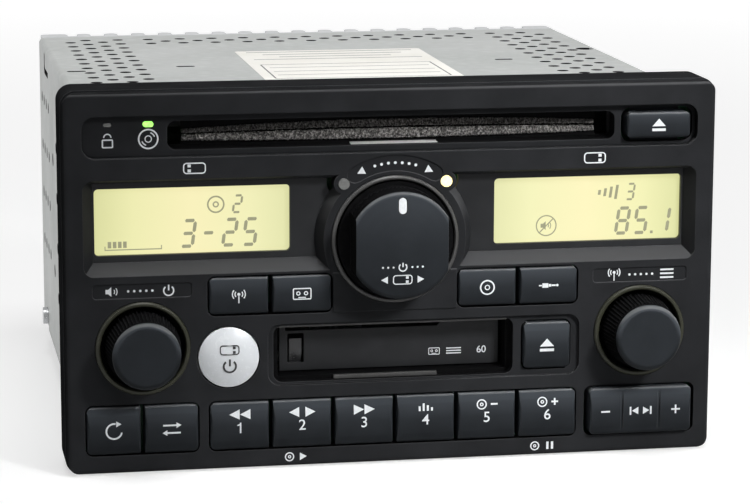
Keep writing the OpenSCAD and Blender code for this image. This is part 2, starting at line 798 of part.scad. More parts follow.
// The large knob: a round base in the ring, and a hollow grip with two flats and a pointer recess
module rear_control_knob() color(charcoal) from_face() translate([0, 0, control_z]) {
  base_r = control_ring_r - control_lip - 0.5;
  edge = 1.2;
  dome = 0.8;
  wall = 2;
  hub_r = shaft_r + 1.6;
  difference() {
    union() {
      rod_y(base_r, base_front, knob_back);
      intersection() {
        rotate([-90, 0, 0]) rotate_extrude() polygon(concat(
          [for (t = [0 : 0.2 : 0.8]) [t * (control_r - edge), dome * t * t - control_reach]],
          [for (a = [0 : 15 : 90]) [
            control_r - edge + edge * sin(a), edge + dome - control_reach - edge * cos(a)
          ]],
          [[control_r + 0.2, base_front + snug], [0, base_front + snug]]
        ));
        slab(-control_reach - cut, knob_back) square([2 * control_flat, 3 * control_r], center = true);
      }
    }
    intersection() {
      rod_y(control_r - wall, wall - control_reach, knob_back + cut);
      slab(-control_reach, knob_back + cut) square([2 * (control_flat - wall), 2 * control_r], center = true);
    }
    translate([0, 0, control_r - 3.9]) slab(-control_reach - cut, dome + 0.3 - control_reach)
      rounded(2.6, 4.9, 1.25);
  }
  difference() {
    rod_y(hub_r, wall - control_reach - snug, bush_front - knob_travel - 0.4);
    rod_y(shaft_r + running, shaft_front, knob_back);
  }
}
module rear_control_shaft() color(steel) from_face() translate([0, 0, control_z]) control_shaft();
module rear_control_plunger() color(white) from_face() translate([0, 0, control_z]) push_plunger();

// Three rotary encoders on the front circuit board, each with a threaded bush
module encoder_bodies() color(steel) from_face()
  for (p = [[-dial_x, dial_z], [0, control_z], [dial_x, dial_z]]) translate([p[0], 0, p[1]]) difference() {
    union() {
      slab(encoder_front, board_y) square(encoder_w, center = true);
      rod_y(bush_r, bush_front, encoder_front + snug);
    }
    rod_y(shaft_r + running, bush_front - cut, board_y + cut);
  }

// Raised rings pressed into the face round the knobs
module ring(r, lip) rotate([-90, 0, 0]) rotate_extrude() polygon([
  [r - lip, ring_seat], [r - lip, 0.3 - ring_proud], [r - lip + 0.3, -ring_proud],
  [r - snug - 0.4, -ring_proud], [r - snug, 0.4 - ring_proud], [r - snug, ring_seat]
]);
module knob_rings() color(ring_grey) from_face() {
  for (s = [-1, 1]) translate([s * dial_x, 0, dial_z]) ring(ring_r, ring_lip);
  translate([0, 0, control_z]) ring(control_ring_r, control_lip);
}

module source_button(i) color(button_grey) from_face() {
  side = i < 2 ? -1 : 1;
  step = (i % 2) - 0.5;
  translate([side * source_x + step * (source_w + key_gap), 0, source_z])
    key(source_w, source_h, key_reach / 2, face_t, flange_over,
      i % 2 == 0 ? key_r : inner_r, i % 2 == 0 ? inner_r : key_r);
}
module source_button_1() source_button(0);
module source_button_2() source_button(1);
module source_button_3() source_button(2);
module source_button_4() source_button(3);

// White domed push button, hollow behind the dome
module rear_power_button() color(white) from_face() translate([-power_x, 0, tape_z]) {
  dome_r = (power_r * power_r + power_dome * power_dome) / (2 * power_dome);
  dome_step = asin(power_r / dome_r) / 12;
  dome_front = -power_dome - 0.3;
  flange_r = power_r + key_clear + 1;
  flange_y = face_t + flange_lift;
  rotate([-90, 0, 0]) rotate_extrude() polygon(concat(
    [for (i = [0 : 12]) [dome_r * sin(i * dome_step), dome_front + dome_r * (1 - cos(i * dome_step))]],
    [[power_r, flange_y], [flange_r, flange_y], [flange_r, flange_y + flange_t],
     [power_r - cap_t, flange_y + flange_t], [power_r - cap_t, cap_t], [post_r, cap_t],
     [post_r, post_end], [0, post_end]]
  ));
}

module tape_eject_button() color(button_grey) from_face() translate([tape_eject_x, 0, tape_z])
  key(tape_eject_w, tape_eject_w, key_reach / 2, face_t, flange_over, key_r, key_r);

module pair_button(s) color(button_grey) from_face()
  translate([s * (pair_w + key_gap) / 2 - pair_x, 0, row_z])
    key(pair_w, row_h, key_reach, face_t, flange_over, s < 0 ? key_r : inner_r, s < 0 ? inner_r : key_r);
module scan_button() pair_button(-1);
module select_button() pair_button(1);

module preset_button(i) color(button_grey) from_face()
  translate([(i - 2.5) * preset_pitch, 0, row_z])
    key(preset_w, row_h, key_reach, face_t, flange_over, i == 0 ? key_r : inner_r, i == 5 ? key_r : inner_r);
module preset_button_1() preset_button(0);
module preset_button_2() preset_button(1);
module preset_button_3() preset_button(2);
module preset_button_4() preset_button(3);
module preset_button_5() preset_button(4);
module preset_button_6() preset_button(5);

// One rocker for seeking down and up, turning on two trunnions behind its middle
module seek_rocker() color(button_grey) from_face() translate([pair_x, 0, row_z]) {
  groove_w = 0.7;
  lug_top = row_open_h / 2 + 1.5 + 0.8;
  difference() {
    eased(rocker_w, row_h, -rocker_reach, face_t + 0.6, key_r, key_r, key_ease, key_crown(row_h));
    slab(cap_t - rocker_reach, face_t + cut) rounded(rocker_w - 2 * cap_t, row_h - 2 * cap_t, key_r / 2);
    for (s = [-1, 1]) translate([s * rocker_groove, 0, 0])
      slab(-rocker_reach - cut, 0.5 - rocker_reach) square([groove_w, row_h + cut], center = true);
  }
  slab(cap_t - rocker_reach - snug, trunnion_y + trunnion_r) square([3, row_h - 2], center = true);
  for (s = [-1, 1]) translate([s * rocker_post, 0, 0]) rod_y(post_r, cap_t - rocker_reach - snug, post_end);
  translate([0, trunnion_y, 0]) bar_z(trunnion_r, -lug_top, lug_top);
}

// The funnel behind the bezel that the cassette passes through, with the hinge of its door
module tape_slot_frame() color(charcoal) from_face() difference() {
  union() {
    block([-funnel_x, face_t, funnel_low], [funnel_x, funnel_back, tape_top + tape_wall]);
    block([-funnel_x, funnel_step, funnel_low], [funnel_x, funnel_back, funnel_top]);
    block([-17.3, face_t - 1.2, tape_z - tape_open_h / 2], [12.8, face_t + snug, tape_low]);
  }
  block([-tape_w / 2, face_t - 2 * cut, tape_low], [tape_w / 2, funnel_back + cut, tape_top]);
  block([-tape_w / 2, funnel_step, tape_low], [tape_w / 2, funnel_back + cut, funnel_top - tape_wall]);
  translate([0, hinge_y, hinge_z]) bar_x(door_pin_r, -funnel_x - cut, funnel_x + cut);
}

// The door swings inwards when a cassette is pushed against it
module tape_door() color(mask_grey) from_face() difference() {
  union() {
    slab(door_y, door_y + door_t) polygon([
      [-door_w / 2, door_low], [door_w / 2, door_low], [door_w / 2, door_top],
      [step_x + step_h, door_top], [step_x, door_top - step_h],
      [1.6 - door_w / 2, door_top - step_h], [1.6 - door_w / 2, door_top], [-door_w / 2, door_top]
    ]);
    translate([0, hinge_y, hinge_z]) {
      bar_x(knuckle_r, step_x + step_h, door_w / 2);
      bar_x(knuckle_r, -door_w / 2, 3 - door_w / 2);
    }
  }
  translate([0, hinge_y, hinge_z]) bar_x(door_pin_r + running, -door_w, door_w);
  translate([window_x, 0, tape_z]) slab(door_y - cut, door_y + door_t + cut)
    rounded(window_w, window_h, 0.4);
}

module tape_door_pin() color(steel) from_face() translate([0, hinge_y, hinge_z])
  bar_x(door_pin_r, -funnel_x, funnel_x);

// A bowed strip behind the window of the door that presses on the cassette
module door_leaf_spring() color(black) from_face() {
  leaf_t = 0.5;
  bow = 1;
  tail = tape_z - window_h / 2;
  back = door_y + door_t;
  translate([window_x, 0, 0]) along_x(window_w - 1.2) polygon([
    [back, tail - 1.4], [back, tail], [back - bow, tail + 3], [back - bow, tail + 7],
    [back + leaf_t - bow, tail + 7], [back + leaf_t - bow, tail + 3.2],
    [back + leaf_t, tail + 0.2], [back + leaf_t, tail - 1.4]
  ]);
}

// Switch places on the front circuit board
switch_places = concat(
  [[disc_eject_x, disc_z], [-power_x, tape_z], [tape_eject_x, tape_z]],
  [for (s = [-1, 1]) [pair_x + s * rocker_post, row_z]],
  [for (i = [0 : 5]) [(i - 2.5) * preset_pitch, row_z]],
  [for (s = [-1, 1]) [s * (pair_w + key_gap) / 2 - pair_x, row_z]],
  [for (side = [-1, 1], s = [-0.5, 0.5]) [side * source_x + s * (source_w + key_gap), source_z]]
);

module front_circuit_board() color(board_green) from_face() slab(board_y, board_y + board_t) difference() {
  rounded(bezel_w - 2 * skirt_t - 2 * board_gap, bezel_h - 2 * skirt_t - 2 * board_gap, bezel_corner - 1);
  translate([0, disc_z]) square([slot_w + 8, slot_h + 6], center = true);
  translate([0, (funnel_top + funnel_low) / 2])
    square([2 * funnel_x + 1, funnel_top - funnel_low + 1], center = true);
}

// Push switches soldered to the front circuit board, one behind each button
module key_switches() color(black) from_face() for (p = switch_places) translate([p[0], 0, p[1]]) {
  slab(switch_top + 0.6, board_y) square(6, center = true);
  rod_y(1.75, switch_top, switch_top + 0.7);
}

// Bottom, back and low side walls of the case, folded from one sheet
module chassis_tray() color(zinc) from_face() difference() {
  union() {
    block([-tray_x, case_front, -case_z], [tray_x, chassis_back, sheet - case_z]);
    for (s = [-1, 1]) translate([s * (tray_x - sheet / 2), 0, 0])
      block([-sheet / 2, case_front, -case_z], [sheet / 2, chassis_back, flange_top]);
    block([-tray_x, chassis_back - sheet, -case_z], [tray_x, chassis_back, case_z - sheet - fit]);
    for (x = [-tray_x + 14, tray_x - 14], y = [main_front + 6, main_back - 8])
      translate([x, y, 0]) bar_z(standoff_r, sheet / 2 - case_z, main_z);
  }
  block([-connector_w / 2 - fit, chassis_back - sheet - cut, main_z + board_t],
    [connector_w / 2 + fit, chassis_back + cut, main_z + board_t + connector_h + fit]);
  translate([antenna_x, 0, antenna_z])
    rod_y(antenna_r + antenna_wall + fit, chassis_back - 2 * sheet, chassis_back + cut);
  for (y = screw_ys) translate([0, y, screw_z]) bar_x(screw_r, -case_x, case_x);
}

// Ventilation holes: four staggered columns at each side and three staggered rows along the back
module vent_holes() {
  top0 = case_z - 3 * sheet;
  far = case_x + cut;
  side_rows = [-24, -8, 8, 24] * tall;
  vent_row = floor((case_x - vent_side - vent_pitch_x) / vent_pitch_x);
  for (s = [-1, 1], j = [0 : 3], i = [0 : 11])
    translate([s * (case_x - vent_side + vent_pitch_x * j), vent_back - vent_pitch_y * (i + (j % 2) / 2), 0])
      bar_z(vent_r, top0, case_z + cut);
  for (j = [-vent_row : vent_row], i = [0 : j % 2 == 0 ? 1 : 0])
    translate([vent_pitch_x * j, vent_back - vent_pitch_y * (i + abs(j % 2) / 2), 0])
      bar_z(vent_r, top0, case_z + cut);
  for (z = side_rows, i = [0 : 4]) translate([0, bracket_y - 20 + 10 * i, z]) bar_x(vent_r, -far, far);
  for (z = side_rows, i = [0 : 3]) translate([0, vent_back - 10 * i, z + 8]) bar_x(vent_r, -far, far);
}

// Slots for the tongues of the decks, an access hole and a hooked slot at each side
module cover_slots() {
  top0 = case_z - 3 * sheet;
  for (p = [[5.5 - case_x, 82], [-49.3 * wide, 89], [52 * wide, 91]])
    translate([p[0], p[1], top0]) linear_extrude(9) rounded(5.8, 2.4, 1);
  translate([case_x - 4.6, 114.5, 0]) bar_z(2.9, top0, case_z + cut);
  for (s = [-1, 1]) translate([s * case_x, vent_back - 22, case_z - 5.3])
    along_x(9) difference() {
      rounded(18, 7, 2);
      translate([-3, 2]) rounded(18, 7, 2);
    }
}

// Top and sides of the case: one sheet folded over the tray, with bracket nuts pressed in at the sides
module top_cover() color(zinc) from_face() {
  difference() {
    union() {
      slab(case_front, chassis_back) difference() {
        rounded(chassis_w, chassis_h, bend_r);
        rounded(chassis_w - 2 * sheet, chassis_h - 2 * sheet, bend_r - sheet / 2);
        translate([-case_x - cut, -case_z - cut]) square([chassis_w + 2 * cut, skirt_low + case_z + cut]);
      }
      for (s = [-1, 1], p = bracket_places) translate([s * (case_x - sheet / 2), p[0], p[1]])
        mirror([s > 0 ? 0 : 1, 0, 0]) bar_x(bracket_boss_r, -sheet / 2 - bracket_boss, 0);
    }
    vent_holes();
    cover_slots();
    for (p = bracket_places) translate([0, p[0], p[1]]) bar_x(bracket_r, -case_x - cut, case_x + cut);
    for (y = screw_ys) translate([0, y, screw_z]) bar_x(screw_r + fit, -case_x - cut, case_x + cut);
  }
}

// Plan of a cooling fin, rounded at its free end
module sink_fin(w, y1, y2) {
  r = fin_t / 2 - snug;
  translate([-w / 2, y1 - snug]) square([w, y2 - y1 - r + snug]);
  translate([r - w / 2, y2 - r - cut]) square([w - 2 * r, r + cut]);
  for (s = [-1, 1]) translate([s * (w / 2 - r), y2 - r]) circle(r);
}

// Finned aluminium back that cools the power amplifier
module heat_sink() color(light_metal) from_face() {
  fin_n = floor((case_x - sink_end_w - 2) / fin_pitch);
  half = case_x - 1;
  y1 = chassis_back + sink_base;
  y2 = chassis_back + sink_depth;
  low = case_z - sink_h;
  block([-half, chassis_back, low], [half, y1, case_z]);
  for (k = [-fin_n : fin_n]) translate([k * fin_pitch, 0, low])
    linear_extrude(sink_h) sink_fin(fin_t, y1, y2);
  for (s = [-1, 1]) translate([s * (half - sink_end_w / 2), 0, low])
    linear_extrude(sink_h) sink_fin(sink_end_w, y1, y2);
}

module main_circuit_board() color(board_green) from_face() difference() {
  block([3 - tray_x, main_front, main_z], [tray_x - 3, main_back, main_z + board_t]);
  for (x = [-tray_x + 14, tray_x - 14], y = [main_front + 6, main_back - 8])
    translate([x, y, 0]) bar_z(1.6, main_z - cut, main_z + board_t + cut);
}

// Shrouded socket for the wiring plug, soldered to the main board and open to the rear
module harness_connector() color(black) from_face() translate([0, 0, main_z + board_t]) {
  front = chassis_back - 14;
  back = chassis_back + connector_reach;
  difference() {
    block([-connector_w / 2, front, 0], [connector_w / 2, back, connector_h]);
    block([connector_wall - connector_w / 2, front + 6, connector_wall],
      [connector_w / 2 - connector_wall, back + cut, connector_h - connector_wall]);
  }
  for (i = [-4 : 4], j = [-0.5, 0.5]) translate([i * 4, 0, connector_h / 2 + j * 6])
    slab(front + 6 - snug, front + 11) square(1, center = true);
}

// Round aerial socket with its flange against the back of the case
module antenna_socket() color(light_metal) from_face() translate([antenna_x, 0, antenna_z]) difference() {
  union() {
    rod_y(antenna_r + antenna_wall, chassis_back - 10, chassis_back + antenna_reach);
    rod_y(antenna_r + antenna_wall + 2.5, chassis_back, chassis_back + 1.2);
  }
  rod_y(antenna_r, chassis_back - 6, chassis_back + antenna_reach + cut);
}

// Four screws that hold the cover to the tray
module case_screws() color(steel) from_face() for (s = [-1, 1], y = screw_ys)
  translate([s * case_x, y, screw_z]) mirror([s > 0 ? 0 : 1, 0, 0]) {
    bar_x(screw_r, -6, snug);
    bar_x(screw_head_r, 0, screw_head_h);
  }

// Sheet-metal frame of the disc deck: floor, side walls, upper guide, pickup rods, spindle boss and ears
module disc_deck_frame() color(zinc) from_face() {
  boss_top = disc_under - turntable_low - 0.3;
  difference() {
    union() {
      block([-deck_x, deck_front, deck_low], [deck_x, deck_back, deck_low + sheet]);
      for (s = [-1, 1]) translate([s * (deck_x - sheet / 2), 0, 0])
        block([-sheet / 2, deck_front, deck_low], [sheet / 2, deck_back, deck_high]);
      block([-deck_x, deck_front, disc_z + 1.6], [deck_x, deck_front + 10, disc_z + 2.8]);
      for (y = [deck_front + 12, deck_back - ear_w - 4])
        block([sheet - case_x, y, deck_low], [case_x - sheet, y + ear_w, deck_low + sheet]);
      translate([0, spindle_y, 0]) bar_z(11, deck_low + sheet / 2, boss_top);
      for (y = [rod_front, rod_back])
        block([-rod_x - 4, y, deck_low + sheet / 2], [rod_x + 4, y + rod_post, rod_z + 3]);
    }
    translate([0, roller_y, roller_z]) bar_x(roller_shaft_r + running, -deck_x - cut, deck_x + cut);
    translate([0, spindle_y, 0]) bar_z(roller_shaft_r + running, deck_low - cut, boss_top + cut);
  }
  for (s = [-1, 1]) translate([s * rod_x, 0, rod_z]) rod_y(rod_r, rod_front + rod_post - cut, rod_back + cut);
}

// Rubber roller on its shaft, which draws the disc in
module disc_load_roller() color(rubber) from_face() translate([0, roller_y, roller_z]) {
  bar_x(roller_r, -deck_x + 3, deck_x - 3);
  bar_x(roller_shaft_r, -deck_x, deck_x);
}

// Disc table with its centring cone, on the spindle of its motor
module disc_turntable() color(black) from_face() translate([0, spindle_y, 0]) {
  low = disc_under - turntable_low;
  translate([0, 0, low]) rotate_extrude() polygon([
    [0, 0], [turntable_r - 2, 0], [turntable_r, 1.5], [turntable_r, 3.2],
    [9, 3.2], [9, 3.6], [7.4, 3.6], [5.5, 5.7], [0, 5.7]
  ]);
  bar_z(roller_shaft_r, deck_low, low + 1);
}

// Optical pickup on its two rods
module disc_pickup() color(steel) from_face() translate([0, pickup_y, rod_z]) {
  lens_r = 3.4;
  difference() {
    union() {
      block([-pickup_w / 2, -pickup_l / 2, -2.6], [pickup_w / 2, pickup_l / 2, 3]);
      block([-11, 1 - pickup_l / 2, 2], [11, pickup_l / 2 - 1, 5]);
    }
    for (s = [-1, 1]) translate([s * rod_x, 0, 0]) rod_y(rod_r + running, -pickup_l, pickup_l);
  }
  bar_z(lens_r, 4, 6.4);
}

// Frame of the cassette deck: floor plate, two slotted walls, bearing bosses and rails on the tray's walls
module tape_deck_frame() color(zinc) from_face() {
  top = carrier_pin_z + 5;
  front = case_front + 3;
  back = cassette_y + tape_deck_tail;
  right = motor_x + motor_r + 1;
  inset = 14;
  capstans = [for (s = [-0.5, 0.5]) [capstan_x, cassette_y + s * capstan_pitch, 0]];
  hubs = [for (s = [-0.5, 0.5]) [hub_x, cassette_y + s * hub_pitch, 0]];
  difference() {
    union() {
      block([-tape_wall_x - sheet, front, tape_plate_z], [right, back, tape_plate_top]);
      for (s = [-1, 1]) translate([s * (tape_wall_x + sheet / 2), 0, 0])
        block([-sheet / 2, front, tape_plate_z], [sheet / 2, back, top]);
      for (y = [front + inset, back - inset - ear_w])
        block([-tray_x, y, tape_plate_z], [tray_x, y + ear_w, tape_plate_top]);
      for (s = [-1, 1]) translate([s * (tray_x - sheet), 0, 0])
        block([-sheet, front + inset, flange_top], [sheet, back - inset, tape_plate_top]);
      for (p = capstans) translate(p) bar_z(capstan_r + 2, tape_plate_top - snug, tape_plate_top + 2.8);
      for (p = hubs) translate(p) bar_z(capstan_r + 2, tape_plate_top - snug, tape_plate_top + hub_boss);
    }
    for (p = concat(capstans, hubs)) translate(p)
      bar_z(capstan_r + running, tape_plate_z - cut, tape_plate_top + 4);
    for (s = [-1, 1], y = carrier_pin_ys) translate([s * tape_wall_x, y, carrier_pin_z - carrier_fall / 2])
      along_x(6) rounded(2 * carrier_pin_r + 0.2, carrier_fall + 2 * carrier_pin_r + 0.6, carrier_pin_r);
    translate([motor_x, motor_y, 0]) bar_z(3, tape_plate_z - cut, tape_plate_top + cut);
    block([tape_wall_x - cut, cassette_y - 14, tape_plate_top + 2],
      [tape_wall_x + 2 * sheet, cassette_y + 14, carrier_floor + 7]);
  }
}

// Lift tray that takes the cassette and lowers it on to the hubs, guided by four pins in slotted walls
module tape_carrier() color(steel) from_face() {
  y0 = cassette_y - carrier_len / 2;
  y1 = cassette_y + carrier_len / 2;
  difference() {
    union() for (s = [-1, 1]) {
      translate([s * (carrier_x - carrier_t / 2), 0, 0])
        block([-carrier_t / 2, y0, carrier_floor - carrier_t], [carrier_t / 2, y1, carrier_pin_z + 3]);
      translate([s * (carrier_x - carrier_lip / 2), 0, 0])
        block([-carrier_lip / 2, y0, carrier_floor - carrier_t], [carrier_lip / 2, y1, carrier_floor]);
      for (y = carrier_pin_ys) translate([s * (carrier_x + sheet / 2), y, carrier_pin_z])
        bar_x(carrier_pin_r, -sheet / 2 - snug, sheet / 2);
    }
    block([0, cassette_y - 18, carrier_floor - 2 * carrier_t],
      [carrier_x + cut, cassette_y + 18, carrier_floor + 9]);
  }
  block([-carrier_x, y1 - 3, carrier_floor - carrier_t], [carrier_x, y1, carrier_floor]);
}

// Capstan with its flywheel under the plate
module capstan(s) color(brass) from_face() translate([capstan_x, cassette_y + s * capstan_pitch, 0]) {
  bar_z(flywheel_r, flywheel_top - flywheel_t, flywheel_top);
  bar_z(capstan_r, flywheel_top - flywheel_t, hub_top);
}
module front_capstan() capstan(-0.5);
module rear_capstan() capstan(0.5);

// Reel hub: table, three-lugged spindle and pivot
module reel_hub(s) color(white) from_face() translate([hub_x, cassette_y + s * hub_pitch, 0]) {
  table = tape_plate_top + hub_boss + 0.2;
  bar_z(8.5, table, table + 1.4);
  bar_z(3.2, table + 1, hub_top);
  bar_z(capstan_r, tape_plate_z, table + 0.5);
  for (a = [0, 120, 240]) rotate(a) block([2.5, -0.5, table + 1], [4.5, 0.5, hub_top - 0.6]);
}
module front_reel_hub() reel_hub(-0.5);
module rear_reel_hub() reel_hub(0.5);

// Tape head with a rounded nose on its bracket
module tape_head() color(light_metal) from_face()
  translate([tape_wall_x + sheet + 1, cassette_y, tape_plate_top]) {
    block([0, -head_w / 2, 0], [head_l, head_w / 2, 2]);
    intersection() {
      translate([head_l * 2 / 3, 0, 0]) bar_z(head_l * 2 / 3, 1, head_h);
      block([0, -head_w / 3, 0], [head_l * 3 / 4, head_w / 3, head_h + cut]);
    }
  }

// Motor that drives both flywheels
module tape_motor() color(steel) from_face() translate([motor_x, motor_y, tape_plate_top]) difference() {
  bar_z(motor_r, 0, motor_h);
  bar_z(capstan_r + running, -cut, motor_h / 2);
}
module motor_pulley() color(brass) from_face() translate([motor_x, motor_y, 0]) {
  bar_z(pulley_r, flywheel_top - flywheel_t, flywheel_top);
  bar_z(capstan_r, flywheel_top - snug, tape_plate_top + motor_h / 4);
}

// Flat belt round both flywheels and the pulley
module belt_loop(over) hull() {
  for (s = [-0.5, 0.5]) translate([capstan_x, cassette_y + s * capstan_pitch]) circle(flywheel_r + over);
  translate([motor_x, motor_y]) circle(pulley_r + over);
}
module drive_belt() color(rubber) from_face()
  translate([0, 0, flywheel_top - flywheel_t / 2 - belt_h / 2]) linear_extrude(belt_h) difference() {
    belt_loop(belt_gap + belt_t);
    belt_loop(belt_gap);
  }

front_bezel();
disc_slot_frame();
disc_felts();
disc_eject_button();
indicator_lights();
display_masks();
display_panels();
volume_knob();
volume_shaft();
volume_plunger();
tune_knob();
tune_shaft();
tune_plunger();
rear_control_knob();
rear_control_shaft();
rear_control_plunger();
encoder_bodies();
knob_rings();
source_button_1();
source_button_2();
source_button_3();
source_button_4();
rear_power_button();
tape_eject_button();
scan_button();
select_button();
preset_button_1();
preset_button_2();
preset_button_3();
preset_button_4();
preset_button_5();
preset_button_6();
seek_rocker();
tape_slot_frame();
tape_door();
tape_door_pin();
door_leaf_spring();
front_circuit_board();
key_switches();
chassis_tray();
top_cover();
heat_sink();
main_circuit_board();
harness_connector();
antenna_socket();
case_screws();
disc_deck_frame();
disc_load_roller();
disc_turntable();
disc_pickup();
tape_deck_frame();
tape_carrier();
front_capstan();
rear_capstan();
front_reel_hub();
rear_reel_hub();
tape_head();
tape_motor();
motor_pulley();
drive_belt();
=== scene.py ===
# A double-height car radio: a moulded front with a disc slot, two lit displays, a cassette slot, three
# knobs, fifteen push buttons and a rocker, on a folded zinc-plated case with a finned back.
# Built in the order in which the unit is put together, from the case outwards to the printed signs.
import math
import random

import bpy
from mathutils import Matrix, Vector


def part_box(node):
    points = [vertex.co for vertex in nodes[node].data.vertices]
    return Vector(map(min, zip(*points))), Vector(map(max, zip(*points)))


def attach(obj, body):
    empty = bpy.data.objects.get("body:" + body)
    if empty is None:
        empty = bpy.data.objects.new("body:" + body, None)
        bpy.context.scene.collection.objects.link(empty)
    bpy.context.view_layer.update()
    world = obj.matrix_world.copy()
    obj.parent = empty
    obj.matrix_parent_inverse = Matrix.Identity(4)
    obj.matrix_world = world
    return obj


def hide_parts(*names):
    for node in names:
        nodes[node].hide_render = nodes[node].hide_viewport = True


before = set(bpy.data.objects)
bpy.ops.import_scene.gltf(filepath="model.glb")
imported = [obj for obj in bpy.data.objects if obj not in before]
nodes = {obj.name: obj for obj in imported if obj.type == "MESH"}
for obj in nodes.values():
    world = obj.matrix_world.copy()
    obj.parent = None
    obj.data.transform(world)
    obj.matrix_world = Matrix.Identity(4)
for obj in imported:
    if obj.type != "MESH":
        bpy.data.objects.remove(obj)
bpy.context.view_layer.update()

# The tray is the bottom, the back and the low side walls of the case, and the cover goes over it as top and
# sides. Each is one sheet of zinc-plated steel folded on a press brake, with its corners left open.
# They are screwed together, and the circuit board stands on bosses pressed into the tray's floor.
mm = 0.001


def new_finish(name, colour, rough, metal=0.0, specular=0.5):
    """A material with its shader and the place it is read at, in the frame's own metres."""
    finish = bpy.data.materials.new(name)
    finish.use_nodes = True
    tree = finish.node_tree
    shader = tree.nodes["Principled BSDF"]
    shader.inputs["Base Color"].default_value = (*colour, 1)
    shader.inputs["Roughness"].default_value = rough
    shader.inputs["Metallic"].default_value = metal
    shader.inputs["Specular IOR Level"].default_value = specular
    place = tree.nodes.new("ShaderNodeTexCoord").outputs["Object"]
    return finish, tree, shader, place


def noise(tree, place, scale, detail=3.0, stretch=None):
    """Soft random patches; scale is patches to the metre, stretch draws them out along an axis."""
    if stretch:
        mapping = tree.nodes.new("ShaderNodeMapping")
        mapping.inputs["Scale"].default_value = stretch
        tree.links.new(place, mapping.inputs["Vector"])
        place = mapping.outputs["Vector"]
    patches = tree.nodes.new("ShaderNodeTexNoise")
    patches.inputs["Scale"].default_value = scale
    patches.inputs["Detail"].default_value = detail
    tree.links.new(place, patches.inputs["Vector"])
    return patches.outputs["Fac"]


def shades(tree, value, target, stops):
    """Turns a value into colours, or greys where a stop is one number, and feeds them to a socket."""
    ramp = tree.nodes.new("ShaderNodeValToRGB")
    while len(ramp.color_ramp.elements) < len(stops):
        ramp.color_ramp.elements.new(0.5)
    for element, (at, colour) in zip(ramp.color_ramp.elements, stops):
        element.position = at
        element.color = (*colour, 1) if isinstance(colour, tuple) else (colour, colour, colour, 1)
    tree.links.new(value, ramp.inputs["Fac"])
    if target is not None:
        tree.links.new(ramp.outputs["Color"], target)
    return ramp.outputs["Color"]


def mottled(tree, shader, patches, dark, light, socket="Base Color"):
    """Two shades of a colour, or two degrees of gloss, that run into each other in patches."""
    shades(tree, patches, shader.inputs[socket], [(0.3, dark), (0.7, light)])


def lay_over(tree, shader, amount, colour):
    """Covers a finish with a colour, as far as a value from 0 to 1 says."""
    cover = tree.nodes.new("ShaderNodeMix")
    cover.data_type = "RGBA"
    under, over, result = cover.inputs[6], cover.inputs[7], cover.outputs[2]
    tree.links.new(amount, cover.inputs["Factor"])
    tree.links.new(shader.inputs["Base Color"].links[0].from_socket, under)
    over.default_value = (*colour, 1)
    tree.links.new(result, shader.inputs["Base Color"])


def grain(tree, shader, height, depth, strength=1.0, soften=0.0, worn_and_highlit=None):
    """Surface relief of a given depth in metres, on edges softened by a small radius.
    Edges are lightened to the given edge colour, partly wear and partly a painted highlight: fully where they
    face up, only a little on the undersides."""
    bump = tree.nodes.new("ShaderNodeBump")
    bump.inputs["Strength"].default_value = strength
    bump.inputs["Distance"].default_value = depth
    tree.links.new(height, bump.inputs["Height"])
    tree.links.new(bump.outputs["Normal"], shader.inputs["Normal"])
    if soften:
        edge = tree.nodes.new("ShaderNodeBevel")
        edge.samples = 6
        edge.inputs["Radius"].default_value = soften
        tree.links.new(edge.outputs["Normal"], bump.inputs["Normal"])
    if worn_and_highlit:
        flat = tree.nodes.new("ShaderNodeNewGeometry")
        alike = tree.nodes.new("ShaderNodeVectorMath")
        alike.operation = "DOT_PRODUCT"
        tree.links.new(edge.outputs["Normal"], alike.inputs[0])
        tree.links.new(flat.outputs["Normal"], alike.inputs[1])
        edge_wear_and_highlight = shades(tree, alike.outputs["Value"], None, [(0.8, 0.9), (0.985, 0.0)])
        upward = tree.nodes.new("ShaderNodeSeparateXYZ")
        tree.links.new(edge.outputs["Normal"], upward.inputs["Vector"])
        # Painted highlight: edges that face up take the full edge colour, as light from above; undersides
        # take little.
        lit_from_above = tree.nodes.new("ShaderNodeMapRange")
        lit_from_above.inputs["From Min"].default_value = -0.35
        lit_from_above.inputs["From Max"].default_value = 0.1
        lit_from_above.inputs["To Min"].default_value = 0.15
        tree.links.new(upward.outputs["Z"], lit_from_above.inputs["Value"])
        amount = tree.nodes.new("ShaderNodeMath")
        amount.operation = "MULTIPLY"
        tree.links.new(edge_wear_and_highlight, amount.inputs[0])
        tree.links.new(lit_from_above.outputs["Result"], amount.inputs[1])
        lay_over(tree, shader, amount.outputs["Value"], worn_and_highlit)


def dress(names, finish, crease=32, seam=0.002 * mm):
    """Gives parts of the frame their finish, smooth on curved walls and crisp at creases."""
    for name in names.split():
        part = nodes[name]
        part.data.materials.clear()
        part.data.materials.append(finish)
        bpy.ops.object.select_all(action="DESELECT")
        part.select_set(True)
        bpy.context.view_layer.objects.active = part
        bpy.ops.mesh.customdata_custom_splitnormals_clear()
        for facet in part.data.polygons:
            facet.use_smooth = True
            facet.material_index = 0
        part.modifiers.new("weld", "WELD").merge_threshold = seam
        part.modifiers.new("crease", "EDGE_SPLIT").split_angle = math.radians(crease)
        part.modifiers.new("normals", "WEIGHTED_NORMAL").keep_sharp = True


